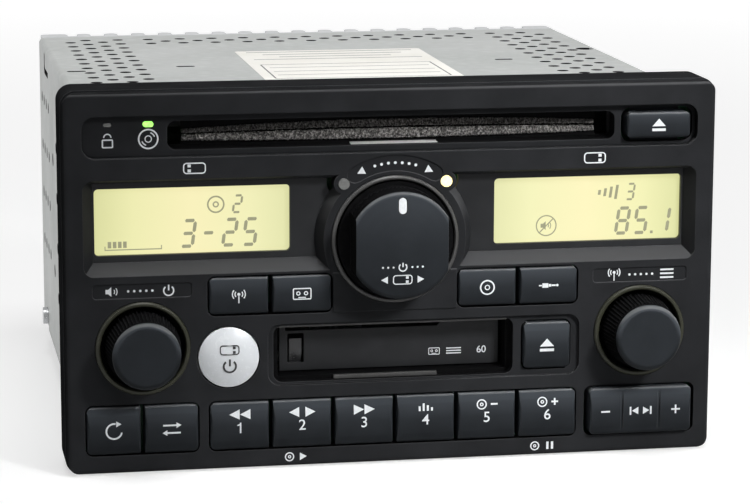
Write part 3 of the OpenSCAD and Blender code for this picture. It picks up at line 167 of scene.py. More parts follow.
zinc_sheet, tree, shader, place = new_finish("zinc_sheet", (0.4, 0.41, 0.41), 0.42, metal=0.6)
spangle = tree.nodes.new("ShaderNodeTexVoronoi")
spangle.inputs["Scale"].default_value = 190
tree.links.new(place, spangle.inputs["Vector"])
shades(tree, spangle.outputs["Distance"], shader.inputs["Base Color"],
       [(0.0, (0.44, 0.455, 0.445)), (0.55, (0.375, 0.39, 0.38)), (1.0, (0.41, 0.425, 0.415))])
smudges = noise(tree, place, 24, 5)
shades(tree, smudges, shader.inputs["Roughness"], [(0.3, 0.34), (0.55, 0.44), (0.75, 0.56)])
grain(tree, shader, noise(tree, place, 900, 2), 0.02 * mm, 0.5, soften=0.3 * mm, worn_and_highlit=(0.55, 0.56, 0.56))
dress("chassis_tray top_cover", zinc_sheet)

# The vents and screw holes are punched through the sheet after plating, so their walls are bare steel,
# painted dark as the shade inside the holes.
# From the front only these walls are seen, because the sheet is looked along.
hole_wall_shade, tree, shader, place = new_finish("hole_wall_shade", (0.02, 0.02, 0.02), 0.6,
                                               metal=0.3, specular=0.1)
mottled(tree, shader, noise(tree, place, 900, 3), (0.012, 0.012, 0.013), (0.035, 0.034, 0.033))
grain(tree, shader, noise(tree, place, 2200, 2), 0.03 * mm, 0.6)
sheet_t = 1.3 * mm
fold_margin, end_margin = 2.5 * mm, 1.5 * mm
across_sheet = 0.3
for name in ("top_cover", "chassis_tray"):
    low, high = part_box(name)
    case = nodes[name].data
    case.materials.append(hole_wall_shade)
    for facet in case.polygons:
        at, way = facet.center, facet.normal
        inside_x = low.x + fold_margin < at.x < high.x - fold_margin
        inside_y = low.y + end_margin < at.y < high.y - end_margin
        inside_z = low.z + fold_margin < at.z < high.z - fold_margin
        in_top = inside_x and inside_y and abs(way.z) < across_sheet and high.z - sheet_t < at.z
        in_side = (inside_y and inside_z and abs(way.x) < across_sheet
                   and not low.x + sheet_t < at.x < high.x - sheet_t)
        if in_top or in_side:
            facet.material_index = 1

# The two deck frames inside are pressed from phosphated steel sheet, darker than the case.
# They are riveted to the tray, and are seen only through the vents and the slots.
deck_sheet, tree, shader, place = new_finish("deck_sheet", (0.06, 0.062, 0.065), 0.5, metal=0.5)
bloom = noise(tree, place, 80, 4)
mottled(tree, shader, bloom, (0.045, 0.047, 0.05), (0.085, 0.087, 0.09))
mottled(tree, shader, bloom, 0.42, 0.6, "Roughness")
grain(tree, shader, noise(tree, place, 1200, 2), 0.02 * mm, 0.5, soften=0.3 * mm, worn_and_highlit=(0.2, 0.2, 0.2))
dress("disc_deck_frame tape_deck_frame", deck_sheet)

# The heat sink is an aluminium extrusion sawn to length and screwed to the back of the tray.
# Fine die lines run down its fins; the aerial socket and the tape head's shell have the same light metal.
aluminium, tree, shader, place = new_finish("aluminium", (0.62, 0.63, 0.64), 0.36, metal=0.9)
die_lines = noise(tree, place, 500, 3, stretch=(1, 1, 0.02))
mottled(tree, shader, die_lines, (0.43, 0.44, 0.45), (0.52, 0.53, 0.54))
mottled(tree, shader, noise(tree, place, 60, 4), 0.3, 0.46, "Roughness")
grain(tree, shader, die_lines, 0.03 * mm, 0.6, soften=0.3 * mm)
dress("heat_sink antenna_socket tape_head", aluminium)

# The circuit boards are green glass-cloth laminate with etched copper under a lacquer.
# The main board is screwed to the tray's bosses and the front one to the bezel's.
board, tree, shader, place = new_finish("board", (0.03, 0.14, 0.06), 0.35)
tracks = tree.nodes.new("ShaderNodeTexBrick")
tracks.inputs["Scale"].default_value = 90
tracks.inputs["Color1"].default_value = (0.02, 0.13, 0.05, 1)
tracks.inputs["Color2"].default_value = (0.035, 0.17, 0.075, 1)
tracks.inputs["Mortar"].default_value = (0.10, 0.26, 0.10, 1)
tracks.inputs["Mortar Size"].default_value = 0.03
tree.links.new(place, tracks.inputs["Vector"])
tree.links.new(tracks.outputs["Color"], shader.inputs["Base Color"])
grain(tree, shader, tracks.outputs["Fac"], 0.03 * mm, 0.6)
dress("main_circuit_board front_circuit_board", board)

# Steel small parts: turned shafts, pins and screws, and the stamped encoder cans, all bright plated.
# Turning leaves fine rings, and handling leaves patches that are a little duller.
steel, tree, shader, place = new_finish("steel", (0.5, 0.51, 0.52), 0.3, metal=1.0)
turned = noise(tree, place, 1800, 2, stretch=(1, 0.05, 0.05))
mottled(tree, shader, turned, (0.44, 0.45, 0.46), (0.56, 0.57, 0.58))
shades(tree, noise(tree, place, 180, 4), shader.inputs["Roughness"], [(0.35, 0.22), (0.7, 0.4)])
grain(tree, shader, turned, 0.01 * mm, 0.5, soften=0.15 * mm)
dress("volume_shaft tune_shaft rear_control_shaft encoder_bodies tape_door_pin case_screws "
      "disc_pickup tape_carrier tape_motor", steel)

# Brass flywheels and pulley, turned from bar and pressed on their shafts.
# The rims keep the lathe's rings and are slightly tarnished between them.
brass, tree, shader, place = new_finish("brass", (0.55, 0.40, 0.15), 0.3, metal=1.0)
rings = noise(tree, place, 1500, 3, stretch=(0.1, 0.1, 1))
mottled(tree, shader, rings, (0.42, 0.30, 0.11), (0.62, 0.46, 0.19))
grain(tree, shader, rings, 0.01 * mm, 0.5, soften=0.15 * mm)
dress("front_capstan rear_capstan motor_pulley", brass)

# The drive belt and the disc roller are rubber, moulded and then ground round.
# Grinding leaves the skin matt, and it holds a little dust.
rubber, tree, shader, place = new_finish("rubber", (0.012, 0.012, 0.013), 0.8, specular=0.3)
dust = noise(tree, place, 700, 5)
shades(tree, dust, shader.inputs["Base Color"], [(0.35, (0.009, 0.009, 0.01)), (0.75, (0.03, 0.03, 0.031))])
grain(tree, shader, dust, 0.04 * mm, 0.7)
dress("drive_belt disc_load_roller", rubber)

# Black engineering plastic of the wiring socket, the push switches, the turntable and the leaf in the door.
# It is moulded in a polished tool and shows faint flow marks.
black_plastic, tree, shader, place = new_finish("black_plastic", (0.01, 0.01, 0.011), 0.32)
flow = noise(tree, place, 220, 3)
mottled(tree, shader, flow, 0.24, 0.42, "Roughness")
mottled(tree, shader, flow, (0.008, 0.008, 0.009), (0.018, 0.018, 0.02))
grain(tree, shader, noise(tree, place, 2600, 2), 0.01 * mm, 0.5, soften=0.2 * mm)
dress("harness_connector key_switches disc_turntable door_leaf_spring", black_plastic)

# The white push button, the reel hubs and the plungers are moulded in white plastic.
# The button's dome is polished, and its white is slightly cool.
white_plastic, tree, shader, place = new_finish("white_plastic", (0.74, 0.75, 0.75), 0.24)
mottled(tree, shader, noise(tree, place, 160, 3), (0.745, 0.775, 0.805), (0.795, 0.82, 0.845))
mottled(tree, shader, noise(tree, place, 800, 3), 0.2, 0.3, "Roughness")
grain(tree, shader, noise(tree, place, 2000, 2), 0.006 * mm, 0.4, soften=0.2 * mm)
dress("rear_power_button front_reel_hub rear_reel_hub volume_plunger tune_plunger rear_control_plunger",
      white_plastic)


# The bezel, the disc slot's strip and the cassette funnel are moulded in charcoal plastic.
# The tool was spark-eroded, so every face that shows has a fine matt grain; what faces up is lightened with a
# painted highlight, as light from above.
def painted_top_light(tree, shader, colour, stops):
    """Painted highlight on what faces upwards, as light from above; stops say how much by the upward part of
    the surface's normal.
    """
    facing = tree.nodes.new("ShaderNodeNewGeometry")
    upward = tree.nodes.new("ShaderNodeSeparateXYZ")
    tree.links.new(facing.outputs["Normal"], upward.inputs["Vector"])
    level = tree.nodes.new("ShaderNodeMapRange")
    level.inputs["From Min"].default_value = -1
    tree.links.new(upward.outputs["Z"], level.inputs["Value"])
    amount = shades(tree, level.outputs["Result"], None, [((at + 1) / 2, share) for at, share in stops])
    lay_over(tree, shader, amount, colour)


bezel_plastic, tree, shader, place = new_finish("bezel_plastic", (0.022, 0.023, 0.025), 0.46, specular=0.03)
grit = noise(tree, place, 4200, 2)
mottled(tree, shader, noise(tree, place, 90, 4), (0.0195, 0.0203, 0.022), (0.0265, 0.0276, 0.03))
painted_top_light(tree, shader, (0.085, 0.086, 0.089), [(0.2, 0.0), (0.45, 0.6), (0.8, 0.6), (1.0, 0.25)])
mottled(tree, shader, noise(tree, place, 1100, 3), 0.38, 0.5, "Roughness")
grain(tree, shader, grit, 0.03 * mm, 0.55, soften=0.35 * mm, worn_and_highlit=(0.085, 0.086, 0.09))
dress("front_bezel disc_slot_frame tape_slot_frame", bezel_plastic)

# The bezel's outer rim goes into the dashboard's opening and is left rough from the tool, without any shine.
# Only its edges are lighter, worn by handling and with a painted highlight where they face up.
rim_plastic, tree, shader, place = new_finish("rim_plastic", (0.012, 0.0125, 0.0135), 0.7, specular=0.0)
mottled(tree, shader, noise(tree, place, 90, 4), (0.016, 0.0165, 0.0175), (0.023, 0.0236, 0.025))
grain(tree, shader, noise(tree, place, 4200, 2), 0.03 * mm, 0.55, soften=0.35 * mm, worn_and_highlit=(0.09, 0.091, 0.094))
face_z = 54.9
rim_half_w, rim_half_h = 90 * mm, 50.5 * mm
faces_front = 0.75
rim = nodes["front_bezel"].data
rim.materials.append(rim_plastic)
for facet in rim.polygons:
    outer = abs(facet.center.x) > rim_half_w or abs(facet.center.z - face_z * mm) > rim_half_h
    if outer and abs(facet.normal.y) < faces_front:
        facet.material_index = 1

# The frames round the displays and the cassette door are moulded in the same charcoal, in a smoother tool.
# The frames are held behind the bezel's front wall, and the door hangs on a steel pin in the funnel.
mask_plastic, tree, shader, place = new_finish("mask_plastic", (0.014, 0.0142, 0.015), 0.4, specular=0.15)
mottled(tree, shader, noise(tree, place, 120, 4), (0.015, 0.0157, 0.0172), (0.0215, 0.0225, 0.0243))
grain(tree, shader, noise(tree, place, 3000, 2), 0.02 * mm, 0.4, soften=0.2 * mm, worn_and_highlit=(0.04, 0.04, 0.041))
dress("display_masks tape_door", mask_plastic)

# The rings round the two small knobs are olive-grey plastic, and the large knob's ring is a satin grey.
# Each is moulded by itself and pressed into the bezel round its knob.
ring_plastic, tree, shader, place = new_finish("ring_plastic", (0.03, 0.031, 0.025), 0.38, specular=0.25)
mottled(tree, shader, noise(tree, place, 300, 4), (0.02, 0.021, 0.013), (0.034, 0.035, 0.022))
grain(tree, shader, noise(tree, place, 3600, 2), 0.02 * mm, 0.4, soften=0.2 * mm, worn_and_highlit=(0.12, 0.122, 0.105))
dress("knob_rings", ring_plastic)
satin_grey, tree, shader, place = new_finish("satin_grey", (0.09, 0.09, 0.09), 0.34, specular=0.4)
mottled(tree, shader, noise(tree, place, 300, 4), (0.048, 0.048, 0.048), (0.068, 0.068, 0.067))
grain(tree, shader, noise(tree, place, 3600, 2), 0.02 * mm, 0.4, soften=0.2 * mm, worn_and_highlit=(0.2, 0.2, 0.2))
large_ring_reach = 40 * mm
ring_mesh = nodes["knob_rings"].data
ring_mesh.materials.append(satin_grey)
for facet in ring_mesh.polygons:
    if abs(facet.center.x) < large_ring_reach:
        facet.material_index = 1

# The walls of the openings, the disc tunnel and the cassette funnel are left unpolished and painted near
# black, as the shade deep behind the face.
# Only the ledge under the cassette door is painted satin grey, as a highlight.
face_y = -85.5


def behind_face(facet):
    """How far a facet lies behind the front of the bezel, in millimetres."""
    return facet.center.y / mm - face_y


recess_shade, tree, shader, place = new_finish("recess_shade", (0.004, 0.004, 0.0045), 0.6, specular=0.03)
mottled(tree, shader, noise(tree, place, 700, 3), (0.003, 0.003, 0.0034), (0.006, 0.006, 0.0064))
grain(tree, shader, noise(tree, place, 3600, 2), 0.02 * mm, 0.4)
face_half_w, face_half_h = 90, 50
slot_middle, strip_half = 41.85, 8
edge_depth, pocket_depth, tunnel_depth = 0.8, 3, 3
ledge_left, ledge_right, ledge_depth = -17.5, 13, 4.05
for name in ("front_bezel", "disc_slot_frame", "tape_slot_frame"):
    moulding = nodes[name].data
    shade_slot = len(moulding.materials)
    moulding.materials.append(recess_shade)
    # The satin grey here is a painted highlight on the ledge under the cassette door.
    moulding.materials.append(satin_grey)
    for facet in moulding.polygons:
        x, z, way = facet.center.x / mm, facet.center.z / mm - face_z, facet.normal
        deep = behind_face(facet)
        if name == "front_bezel":
            strip_sill = way.z > 0.5 and abs(z - slot_middle) < strip_half
            wall = abs(way.y) < 0.3 and deep > edge_depth and not strip_sill
            pocket = way.y < -0.9 and deep > pocket_depth
            if abs(x) < face_half_w and abs(z) < face_half_h and (wall or pocket):
                facet.material_index = shade_slot
        elif name == "disc_slot_frame":
            if abs(way.y) < 0.95 and deep > tunnel_depth:
                facet.material_index = shade_slot
        else:
            on_ledge = ledge_left < x < ledge_right and deep < ledge_depth
            facet.material_index = shade_slot + 1 if on_ledge else shade_slot

# The buttons and knobs are moulded in satin charcoal plastic, a shade cooler than the bezel.
# Their fronts are polished a little; painted highlights make them lighter where they face up and brightest
# along the top edges.
button_plastic, tree, shader, place = new_finish("button_plastic", (0.014, 0.0142, 0.015), 0.38,
                                                 specular=0.06)
mottled(tree, shader, noise(tree, place, 140, 4), (0.0106, 0.0122, 0.0142), (0.0153, 0.0176, 0.0204))
painted_top_light(tree, shader, (0.061, 0.069, 0.079), [(-0.16, 0.0), (0.0, 0.2), (0.16, 0.78), (0.4, 0.75), (1.0, 0.35)])
painted_top_light(tree, shader, (0.2, 0.205, 0.21), [(0.28, 0.0), (0.5, 0.5), (0.8, 0.5), (0.95, 0.0)])
mottled(tree, shader, noise(tree, place, 1400, 3), 0.32, 0.42, "Roughness")
grain(tree, shader, noise(tree, place, 3600, 2), 0.02 * mm, 0.45, soften=0.3 * mm, worn_and_highlit=(0.085, 0.087, 0.091))
dress("disc_eject_button source_button_1 source_button_2 source_button_3 source_button_4 tape_eject_button "
      "scan_button select_button preset_button_1 preset_button_2 preset_button_3 preset_button_4 "
      "preset_button_5 preset_button_6 seek_rocker volume_knob tune_knob rear_control_knob", button_plastic)

# The knobs' ribbed sides are left as they come out of the tool, duller than the polished fronts and darker
# with painted shade.
# The large knob's foot, a flange that turns inside the collar, takes the painted shade of the openings.
knob_side_shade, tree, shader, place = new_finish("knob_side_shade", (0.007, 0.007, 0.0075), 0.6, specular=0.0)
mottled(tree, shader, noise(tree, place, 900, 3), (0.005, 0.005, 0.0055), (0.0095, 0.0095, 0.01))
grain(tree, shader, noise(tree, place, 4200, 2), 0.03 * mm, 0.6, soften=0.12 * mm, worn_and_highlit=(0.05, 0.05, 0.051))
foot_depth, faces_side = -4, 0.25
for name in ("volume_knob", "tune_knob", "rear_control_knob"):
    knob = nodes[name].data
    knob.materials.append(knob_side_shade)
    knob.materials.append(recess_shade)
    for facet in knob.polygons:
        if name == "rear_control_knob" and behind_face(facet) > foot_depth:
            facet.material_index = 2
        elif abs(facet.normal.y) < faces_side:
            facet.material_index = 1

# Light pipes of clear acrylic, pushed into the bezel, carry each lamp's light from the board to the front.
# The disc lamp shows green, the right-hand lamp beside the large knob is lit, and the others are off.
lamp_off, tree, shader, place = new_finish("lamp_off", (0.16, 0.165, 0.16), 0.3)
mottled(tree, shader, noise(tree, place, 900, 3), (0.13, 0.135, 0.13), (0.2, 0.2, 0.195))
dress("indicator_lights", lamp_off)
pipes = nodes["indicator_lights"].data
for name, colour, dim, bright, glow, left, right in (
        ("lamp_green", (0.2, 0.6, 0.1), (0.25, 0.85, 0.12), (0.5, 1.0, 0.2), 1.3, -75, -60),
        ("lamp_amber", (0.9, 0.7, 0.3), (1.0, 0.78, 0.32), (1.0, 0.9, 0.5), 1.4, 10, 20)):
    lamp_lit, tree, shader, place = new_finish(name, colour, 0.3)
    mottled(tree, shader, noise(tree, place, 900, 3), dim, bright, "Emission Color")
    shader.inputs["Emission Strength"].default_value = glow
    pipes.materials.append(lamp_lit)
    for facet in pipes.polygons:
        if left < facet.center.x / mm < right:
            facet.material_index = len(pipes.materials) - 1

# The displays are liquid-crystal panels lit from behind by lamps near the middle of each.
# The light falls off and turns greener towards the ends.
# The holders are grey plastic, and stand on the front circuit board.
display_holder, tree, shader, place = new_finish("display_holder", (0.2, 0.2, 0.19), 0.5)
mottled(tree, shader, noise(tree, place, 300, 3), (0.17, 0.17, 0.16), (0.24, 0.24, 0.23))
dress("display_panels", display_holder)
glass_near, glass_far = 29.6 * mm, 85.2 * mm
display_glass, tree, shader, place = new_finish("display_glass", (0.12, 0.125, 0.085), 0.3, specular=0.2)
split = tree.nodes.new("ShaderNodeSeparateXYZ")
tree.links.new(place, split.inputs["Vector"])
side = tree.nodes.new("ShaderNodeMath")
side.operation = "ABSOLUTE"
tree.links.new(split.outputs["X"], side.inputs[0])
across = tree.nodes.new("ShaderNodeMapRange")
across.inputs["From Min"].default_value = glass_near
across.inputs["From Max"].default_value = glass_far
tree.links.new(side.outputs["Value"], across.inputs["Value"])
shades(tree, across.outputs["Result"], shader.inputs["Emission Color"],
       [(0.0, (0.68, 0.68, 0.36)), (0.2, (0.80, 0.78, 0.43)), (0.5, (0.87, 0.80, 0.45)),
        (0.8, (0.79, 0.77, 0.40)), (1.0, (0.64, 0.645, 0.31))])
shader.inputs["Emission Strength"].default_value = 1.0
panels = nodes["display_panels"]
panels.data.materials.append(display_glass)
panel_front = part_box("display_panels")[0].y
front_skin = 0.1 * mm
for facet in panels.data.polygons:
    if facet.normal.y < -0.9 and abs(facet.center.y - panel_front) < front_skin:
        facet.material_index = 1


# The segments are the liquid crystal itself: thin slanted bars that darken between the two glasses.
# Their outlines are etched into the clear coating of the front glass, so each bar has sharp ends.
def slanted_bar(cx, cz, w, h, lean=0.0):
    """A bar w wide and h high that leans to the right by a share of its height."""
    return [(cx - w / 2 - lean * h / 2, cz - h / 2), (cx + w / 2 - lean * h / 2, cz - h / 2),
            (cx + w / 2 + lean * h / 2, cz + h / 2), (cx - w / 2 + lean * h / 2, cz + h / 2)]


def digit(figure, cx, cz, h, lean=0.14):
    """Outlines of one seven-segment figure, h high."""
    w, t, gap = 0.5 * h, 0.115 * h, 0.03 * h
    lit = {"1": "bc", "2": "abged", "3": "abgcd", "5": "afgcd", "8": "abcdefg", "-": "g"}[figure]
    outlines = []
    for name in lit:
        if name in "agd":
            z = {"a": h / 2 - t / 2, "g": 0.0, "d": t / 2 - h / 2}[name]
            bar = [(gap + t / 2 - w / 2, z), (t - w / 2, z - t / 2), (w / 2 - t, z - t / 2),
                   (w / 2 - gap - t / 2, z), (w / 2 - t, z + t / 2), (t - w / 2, z + t / 2)]
        else:
            x = (w / 2 - t / 2) * (1 if name in "bc" else -1)
            low, high = (gap, h / 2 - t / 2 - gap) if name in "bf" else (t / 2 + gap - h / 2, -gap)
            bar = [(x, low), (x + t / 2, low + t / 2), (x + t / 2, high - t / 2),
                   (x, high), (x - t / 2, high - t / 2), (x - t / 2, low + t / 2)]
        outlines.append([(cx + u + lean * v, cz + v) for u, v in bar])
    return outlines


def circle(cx, cz, r, n=36):
    turns = [2 * math.pi * i / n for i in range(n)]
    return [(cx + r * math.cos(a), cz + r * math.sin(a)) for a in turns]


def hoop(cx, cz, r, t):
    return [circle(cx, cz, r), circle(cx, cz, r - t)]


def arc(cx, cz, r, t, start, end, n=20):
    """A curved bar t wide from one angle to another, in degrees from the right."""
    turns = [math.radians(start + (end - start) * i / n) for i in range(n + 1)]
    return [(cx + (r + t / 2) * math.cos(a), cz + (r + t / 2) * math.sin(a)) for a in turns] + \
        [(cx + (r - t / 2) * math.cos(a), cz + (r - t / 2) * math.sin(a)) for a in reversed(turns)]


def speaker(cx, cz, s):
    cone = [(-1.1, -0.5), (-0.5, -0.5), (0.2, -1.1), (0.2, 1.1), (-0.5, 0.5), (-1.1, 0.5)]
    waves = [arc(cx + 0.2 * s, cz, r * s, 0.22 * s, -38, 38) for r in (0.75, 1.3)]
    return [[(cx + u * s, cz + v * s) for u, v in cone]] + waves


def stamp(name, outlines, body, finish, front, thick=0.04, figures=(), top=False, crown=None):
    """Flat artwork in millimetres from the middle of the face, laid on a surface at depth front.
    A crown, as the middle and the height of a key, bends it to that key's rounded front."""
    made = []
    if outlines:
        flat = bpy.data.curves.new(name, "CURVE")
        flat.dimensions = "2D"
        flat.fill_mode = "BOTH"
        flat.extrude = thick * mm / 2
        for outline in outlines:
            line = flat.splines.new("POLY")
            line.points.add(len(outline) - 1)
            line.use_cyclic_u = True
            for point, (u, v) in zip(line.points, outline):
                point.co = (u * mm, v * mm, 0, 1)
        made.append(bpy.data.objects.new(name, flat))
    for text, cx, cz, size in figures:
        letters = bpy.data.curves.new(name, "FONT")
        letters.body = text
        letters.size = size * mm
        letters.align_x = "CENTER"
        letters.align_y = "CENTER"
        letters.extrude = thick * mm / 2
        letters.offset = 0.02 * mm
        made.append(bpy.data.objects.new(name, letters))
        made[-1].location = (cx * mm, cz * mm, 0)
    bpy.ops.object.select_all(action="DESELECT")
    for piece in made:
        bpy.context.collection.objects.link(piece)
        piece.select_set(True)
    bpy.context.view_layer.objects.active = made[0]
    bpy.ops.object.convert(target="MESH")
    if len(made) > 1:
        bpy.ops.object.join()
    piece = bpy.context.view_layer.objects.active
    if top:
        laid = Matrix.Translation((0, 0, (front + face_z + thick / 2) * mm))
    else:
        upright = Matrix.Rotation(math.radians(90), 4, "X")
        laid = Matrix.Translation((0, (front + face_y - thick / 2) * mm, face_z * mm)) @ upright
    piece.matrix_world = laid @ piece.matrix_world
    bpy.ops.object.transform_apply(location=True, rotation=True, scale=True)
    bpy.ops.object.mode_set(mode="EDIT")
    bpy.ops.mesh.select_all(action="SELECT")
    bpy.ops.mesh.remove_doubles(threshold=1e-7)
    bpy.ops.mesh.normals_make_consistent(inside=False)
    key_ease, crown_r, strips = 0.9, 34, 4
    if crown:
        middle, high = crown
        flat_half = high / 2 - key_ease
        for step in range(1 - strips, strips):
            cut_z = face_z + middle + step / strips * flat_half
            bpy.ops.mesh.select_all(action="SELECT")
            bpy.ops.mesh.bisect(plane_co=(0, 0, cut_z * mm), plane_no=(0, 0, 1))
    bpy.ops.object.mode_set(mode="OBJECT")
    if crown:
        for corner in piece.data.vertices:
            away = abs(corner.co.z / mm - face_z - middle) / flat_half
            strip = min(strips - 1, int(away * strips))
            near, far = strip / strips, (strip + 1) / strips
            sag = near ** 2 + (away - near) * strips * (far ** 2 - near ** 2)
            corner.co.y += sag * flat_half ** 2 / (2 * crown_r) * mm
    piece.name = name
    piece.data.materials.clear()
    piece.data.materials.append(finish)
    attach(piece, body)
    return piece


crystal, tree, shader, place = new_finish("crystal", (0.1, 0.1, 0.07), 0.4, specular=0.2)
mottled(tree, shader, noise(tree, place, 500, 3), (0.29, 0.285, 0.175), (0.345, 0.34, 0.215),
        "Emission Color")
shader.inputs["Emission Strength"].default_value = 0.85
segment_front, figure_high = 5.6, 8.3
left_segments = digit("2", -44.4, 21.4, 5.4)
for figure, x in (("3", -58.5), ("-", -52.7), ("2", -46.6), ("5", -40.8)):
    left_segments += digit(figure, x, 13.3, figure_high)
left_segments += hoop(-50.6, 21.4, 2.5, 0.45) + hoop(-50.6, 21.4, 0.9, 0.4)
left_segments += [slanted_bar(-80.8 + 1.45 * i, 10.6, 1.0, 1.8) for i in range(4)]
left_segments += [[(-82.2, 9.0), (-66.0, 9.0), (-66.0, 10.2), (-66.25, 10.2),
                   (-66.25, 9.3), (-81.95, 9.3), (-81.95, 10.2), (-82.2, 10.2)]]
stamp("left_display_segments", left_segments, "head_unit", crystal, segment_front)
right_segments = digit("3", 70.5, 21.7, 5.1)
for figure, x in (("8", 68.3), ("5", 73.8), ("1", 80.4)):
    right_segments += digit(figure, x, 13.2, figure_high)
right_segments += [slanted_bar(77.0, 9.6, 0.8, 0.8)]
right_segments += hoop(45.5, 12.4, 3.1, 0.35) + speaker(45.1, 12.4, 1.15)
right_segments += [slanted_bar(61.2 + 1.7 * i, 21.7, 0.8, 1.4 + 0.9 * i, 0.14) for i in range(4)]
stamp("right_display_segments", right_segments, "head_unit", crystal, segment_front)
stamp("right_display_slash", [slanted_bar(45.5, 12.4, 0.45, 4.1, 1.0)], "head_unit", crystal,
      segment_front, thick=0.05)

# Two strips of brushed felt wipe the disc as it goes in; they are glued behind the slot's tunnel.
# The pile is combed towards the gap, where its edge is ragged.
random.seed(7)
felt, tree, shader, place = new_finish("felt", (0.10, 0.095, 0.09), 0.95, specular=0.1)
pile = noise(tree, place, 2300, 4, stretch=(1, 1, 0.7))
shades(tree, pile, shader.inputs["Base Color"],
       [(0.36, (0.02, 0.019, 0.019)), (0.5, (0.12, 0.115, 0.11)), (0.66, (0.42, 0.405, 0.39))])
shader.inputs["Sheen Weight"].default_value = 0.4
shader.inputs["Sheen Roughness"].default_value = 0.5
grain(tree, shader, noise(tree, place, 3200, 4, stretch=(1, 1, 0.6)), 0.2 * mm, 1.0)
low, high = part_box("disc_felts")
gap_z = (low.z + high.z) / 2
felt_y = (low.y + high.y) / 2
half_gap, gap_rise, gap_bow = 0.36, 0.15, 0.65
half_long = high.x - 0.3 * mm
tufts_long, tufts_high = 420, 14
stray_x, stray_y, stray_z = 0.1, 0.22, 0.12
for name, way, end_high, middle_high in (("lower_felt", -1, 1.4, 2.75), ("upper_felt", 1, 0.85, 1.85)):
    bpy.ops.object.select_all(action="DESELECT")
    bpy.ops.mesh.primitive_grid_add(x_subdivisions=tufts_long, y_subdivisions=tufts_high, size=1,
                                    rotation=(math.radians(90), 0, 0))
    lip = bpy.context.active_object
    lip.name = name
    bpy.ops.object.transform_apply(location=True, rotation=True, scale=True)
    for corner in lip.data.vertices:
        along, up = 2 * corner.co.x, corner.co.z + 0.5
        reach = end_high + (middle_high - end_high) * (1 - along * along)
        bow = gap_rise - gap_bow * along * along
        x = along * half_long + random.uniform(-stray_x, stray_x) * mm
        y = felt_y + random.uniform(-stray_y, stray_y) * mm
        z = gap_z + (bow + way * (half_gap + up * reach) + random.uniform(-stray_z, stray_z)) * mm
        corner.co = (x, y, z)
    thick = lip.modifiers.new("thickness", "SOLIDIFY")
    thick.thickness = 0.5 * mm
    thick.offset = 0
    bpy.ops.object.modifier_apply(modifier="thickness")
    bpy.ops.object.shade_smooth()
    lip.data.materials.append(felt)
    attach(lip, "head_unit")
    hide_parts("disc_felts")

# Each felt is glued to a thin steel backing that closes the mouth of the tunnel above and below it; the
# backing is painted in the recess shade, a dark sheet where the tunnel lies in shade.
# The backings are sheared strips with their edges tumbled round, clamped behind the tunnel.
backing_t, backing_inset = 0.25 * mm, 0.15 * mm
inner, outer = 0.9 * mm, (high.z - low.z) / 2
for name, way in (("lower_felt_backing", -1), ("upper_felt_backing", 1)):
    bpy.ops.object.select_all(action="DESELECT")
    backing_z = gap_z + way * (inner + outer) / 2
    bpy.ops.mesh.primitive_cube_add(size=1, location=(0, high.y - backing_inset, backing_z))
    backing = bpy.context.active_object
    backing.name = name
    backing.scale = (high.x - low.x, backing_t, outer - inner)
    bpy.ops.object.transform_apply(location=True, rotation=True, scale=True)
    tumbled = backing.modifiers.new("tumbled", "BEVEL")
    tumbled.width = 0.06 * mm
    tumbled.segments = 2
    bpy.ops.object.modifier_apply(modifier="tumbled")
    bpy.ops.object.shade_smooth_by_angle(angle=math.radians(40))
    backing.data.materials.append(recess_shade)
    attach(backing, "head_unit")

# A bright spring-steel tongue lies on the floor of the disc tunnel and guides the disc's edge.
# It is a strip with its back bent up along the floor's slope, held by the felt's backing.
tongue_steel, tree, shader, place = new_finish("tongue_steel", (0.75, 0.75, 0.74), 0.35, metal=0.3)
brushed = noise(tree, place, 900, 3, stretch=(0.05, 1, 1))
mottled(tree, shader, brushed, (0.68, 0.68, 0.67), (0.82, 0.82, 0.81))
mottled(tree, shader, noise(tree, place, 260, 3), 0.3, 0.45, "Roughness")
grain(tree, shader, noise(tree, place, 2600, 2, stretch=(0.1, 1, 1)), 0.01 * mm, 0.5)
tongue_x, tongue_w, tongue_z = 0.4, 25, slot_middle - 3.93
tongue_front, tongue_bend = 3.9, 5.9
bent_back, bent_up = 0.7, 0.26
tongue_y = face_y + (tongue_front + tongue_bend) / 2
bpy.ops.object.select_all(action="DESELECT")
bpy.ops.mesh.primitive_plane_add(size=1, location=(tongue_x * mm, tongue_y * mm, (face_z + tongue_z) * mm))
tongue = bpy.context.active_object
tongue.name = "disc_tongue"
tongue.scale = (tongue_w * mm, (tongue_bend - tongue_front) * mm, 1)
bpy.ops.object.transform_apply(location=True, rotation=True, scale=True)
bpy.ops.object.mode_set(mode="EDIT")
bpy.ops.mesh.select_all(action="DESELECT")
bpy.ops.object.mode_set(mode="OBJECT")
back_y = max(corner.co.y for corner in tongue.data.vertices)
for edge in tongue.data.edges:
    edge.select = all(abs(tongue.data.vertices[i].co.y - back_y) < 1e-5 for i in edge.vertices)
bpy.ops.object.mode_set(mode="EDIT")
bpy.ops.mesh.extrude_region_move(TRANSFORM_OT_translate={"value": (0, bent_back * mm, bent_up * mm)})
bpy.ops.mesh.select_all(action="SELECT")
bpy.ops.mesh.subdivide(number_cuts=2)
bpy.ops.object.mode_set(mode="OBJECT")
gauge = tongue.modifiers.new("gauge", "SOLIDIFY")
gauge.thickness = 0.2 * mm
gauge.offset = 0
bpy.ops.object.modifier_apply(modifier="gauge")
soft = tongue.modifiers.new("soft", "BEVEL")
soft.width = 0.05 * mm
soft.segments = 2
bpy.ops.object.modifier_apply(modifier="soft")
bpy.ops.object.shade_smooth_by_angle(angle=math.radians(40))
tongue.data.materials.append(tongue_steel)
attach(tongue, "head_unit")

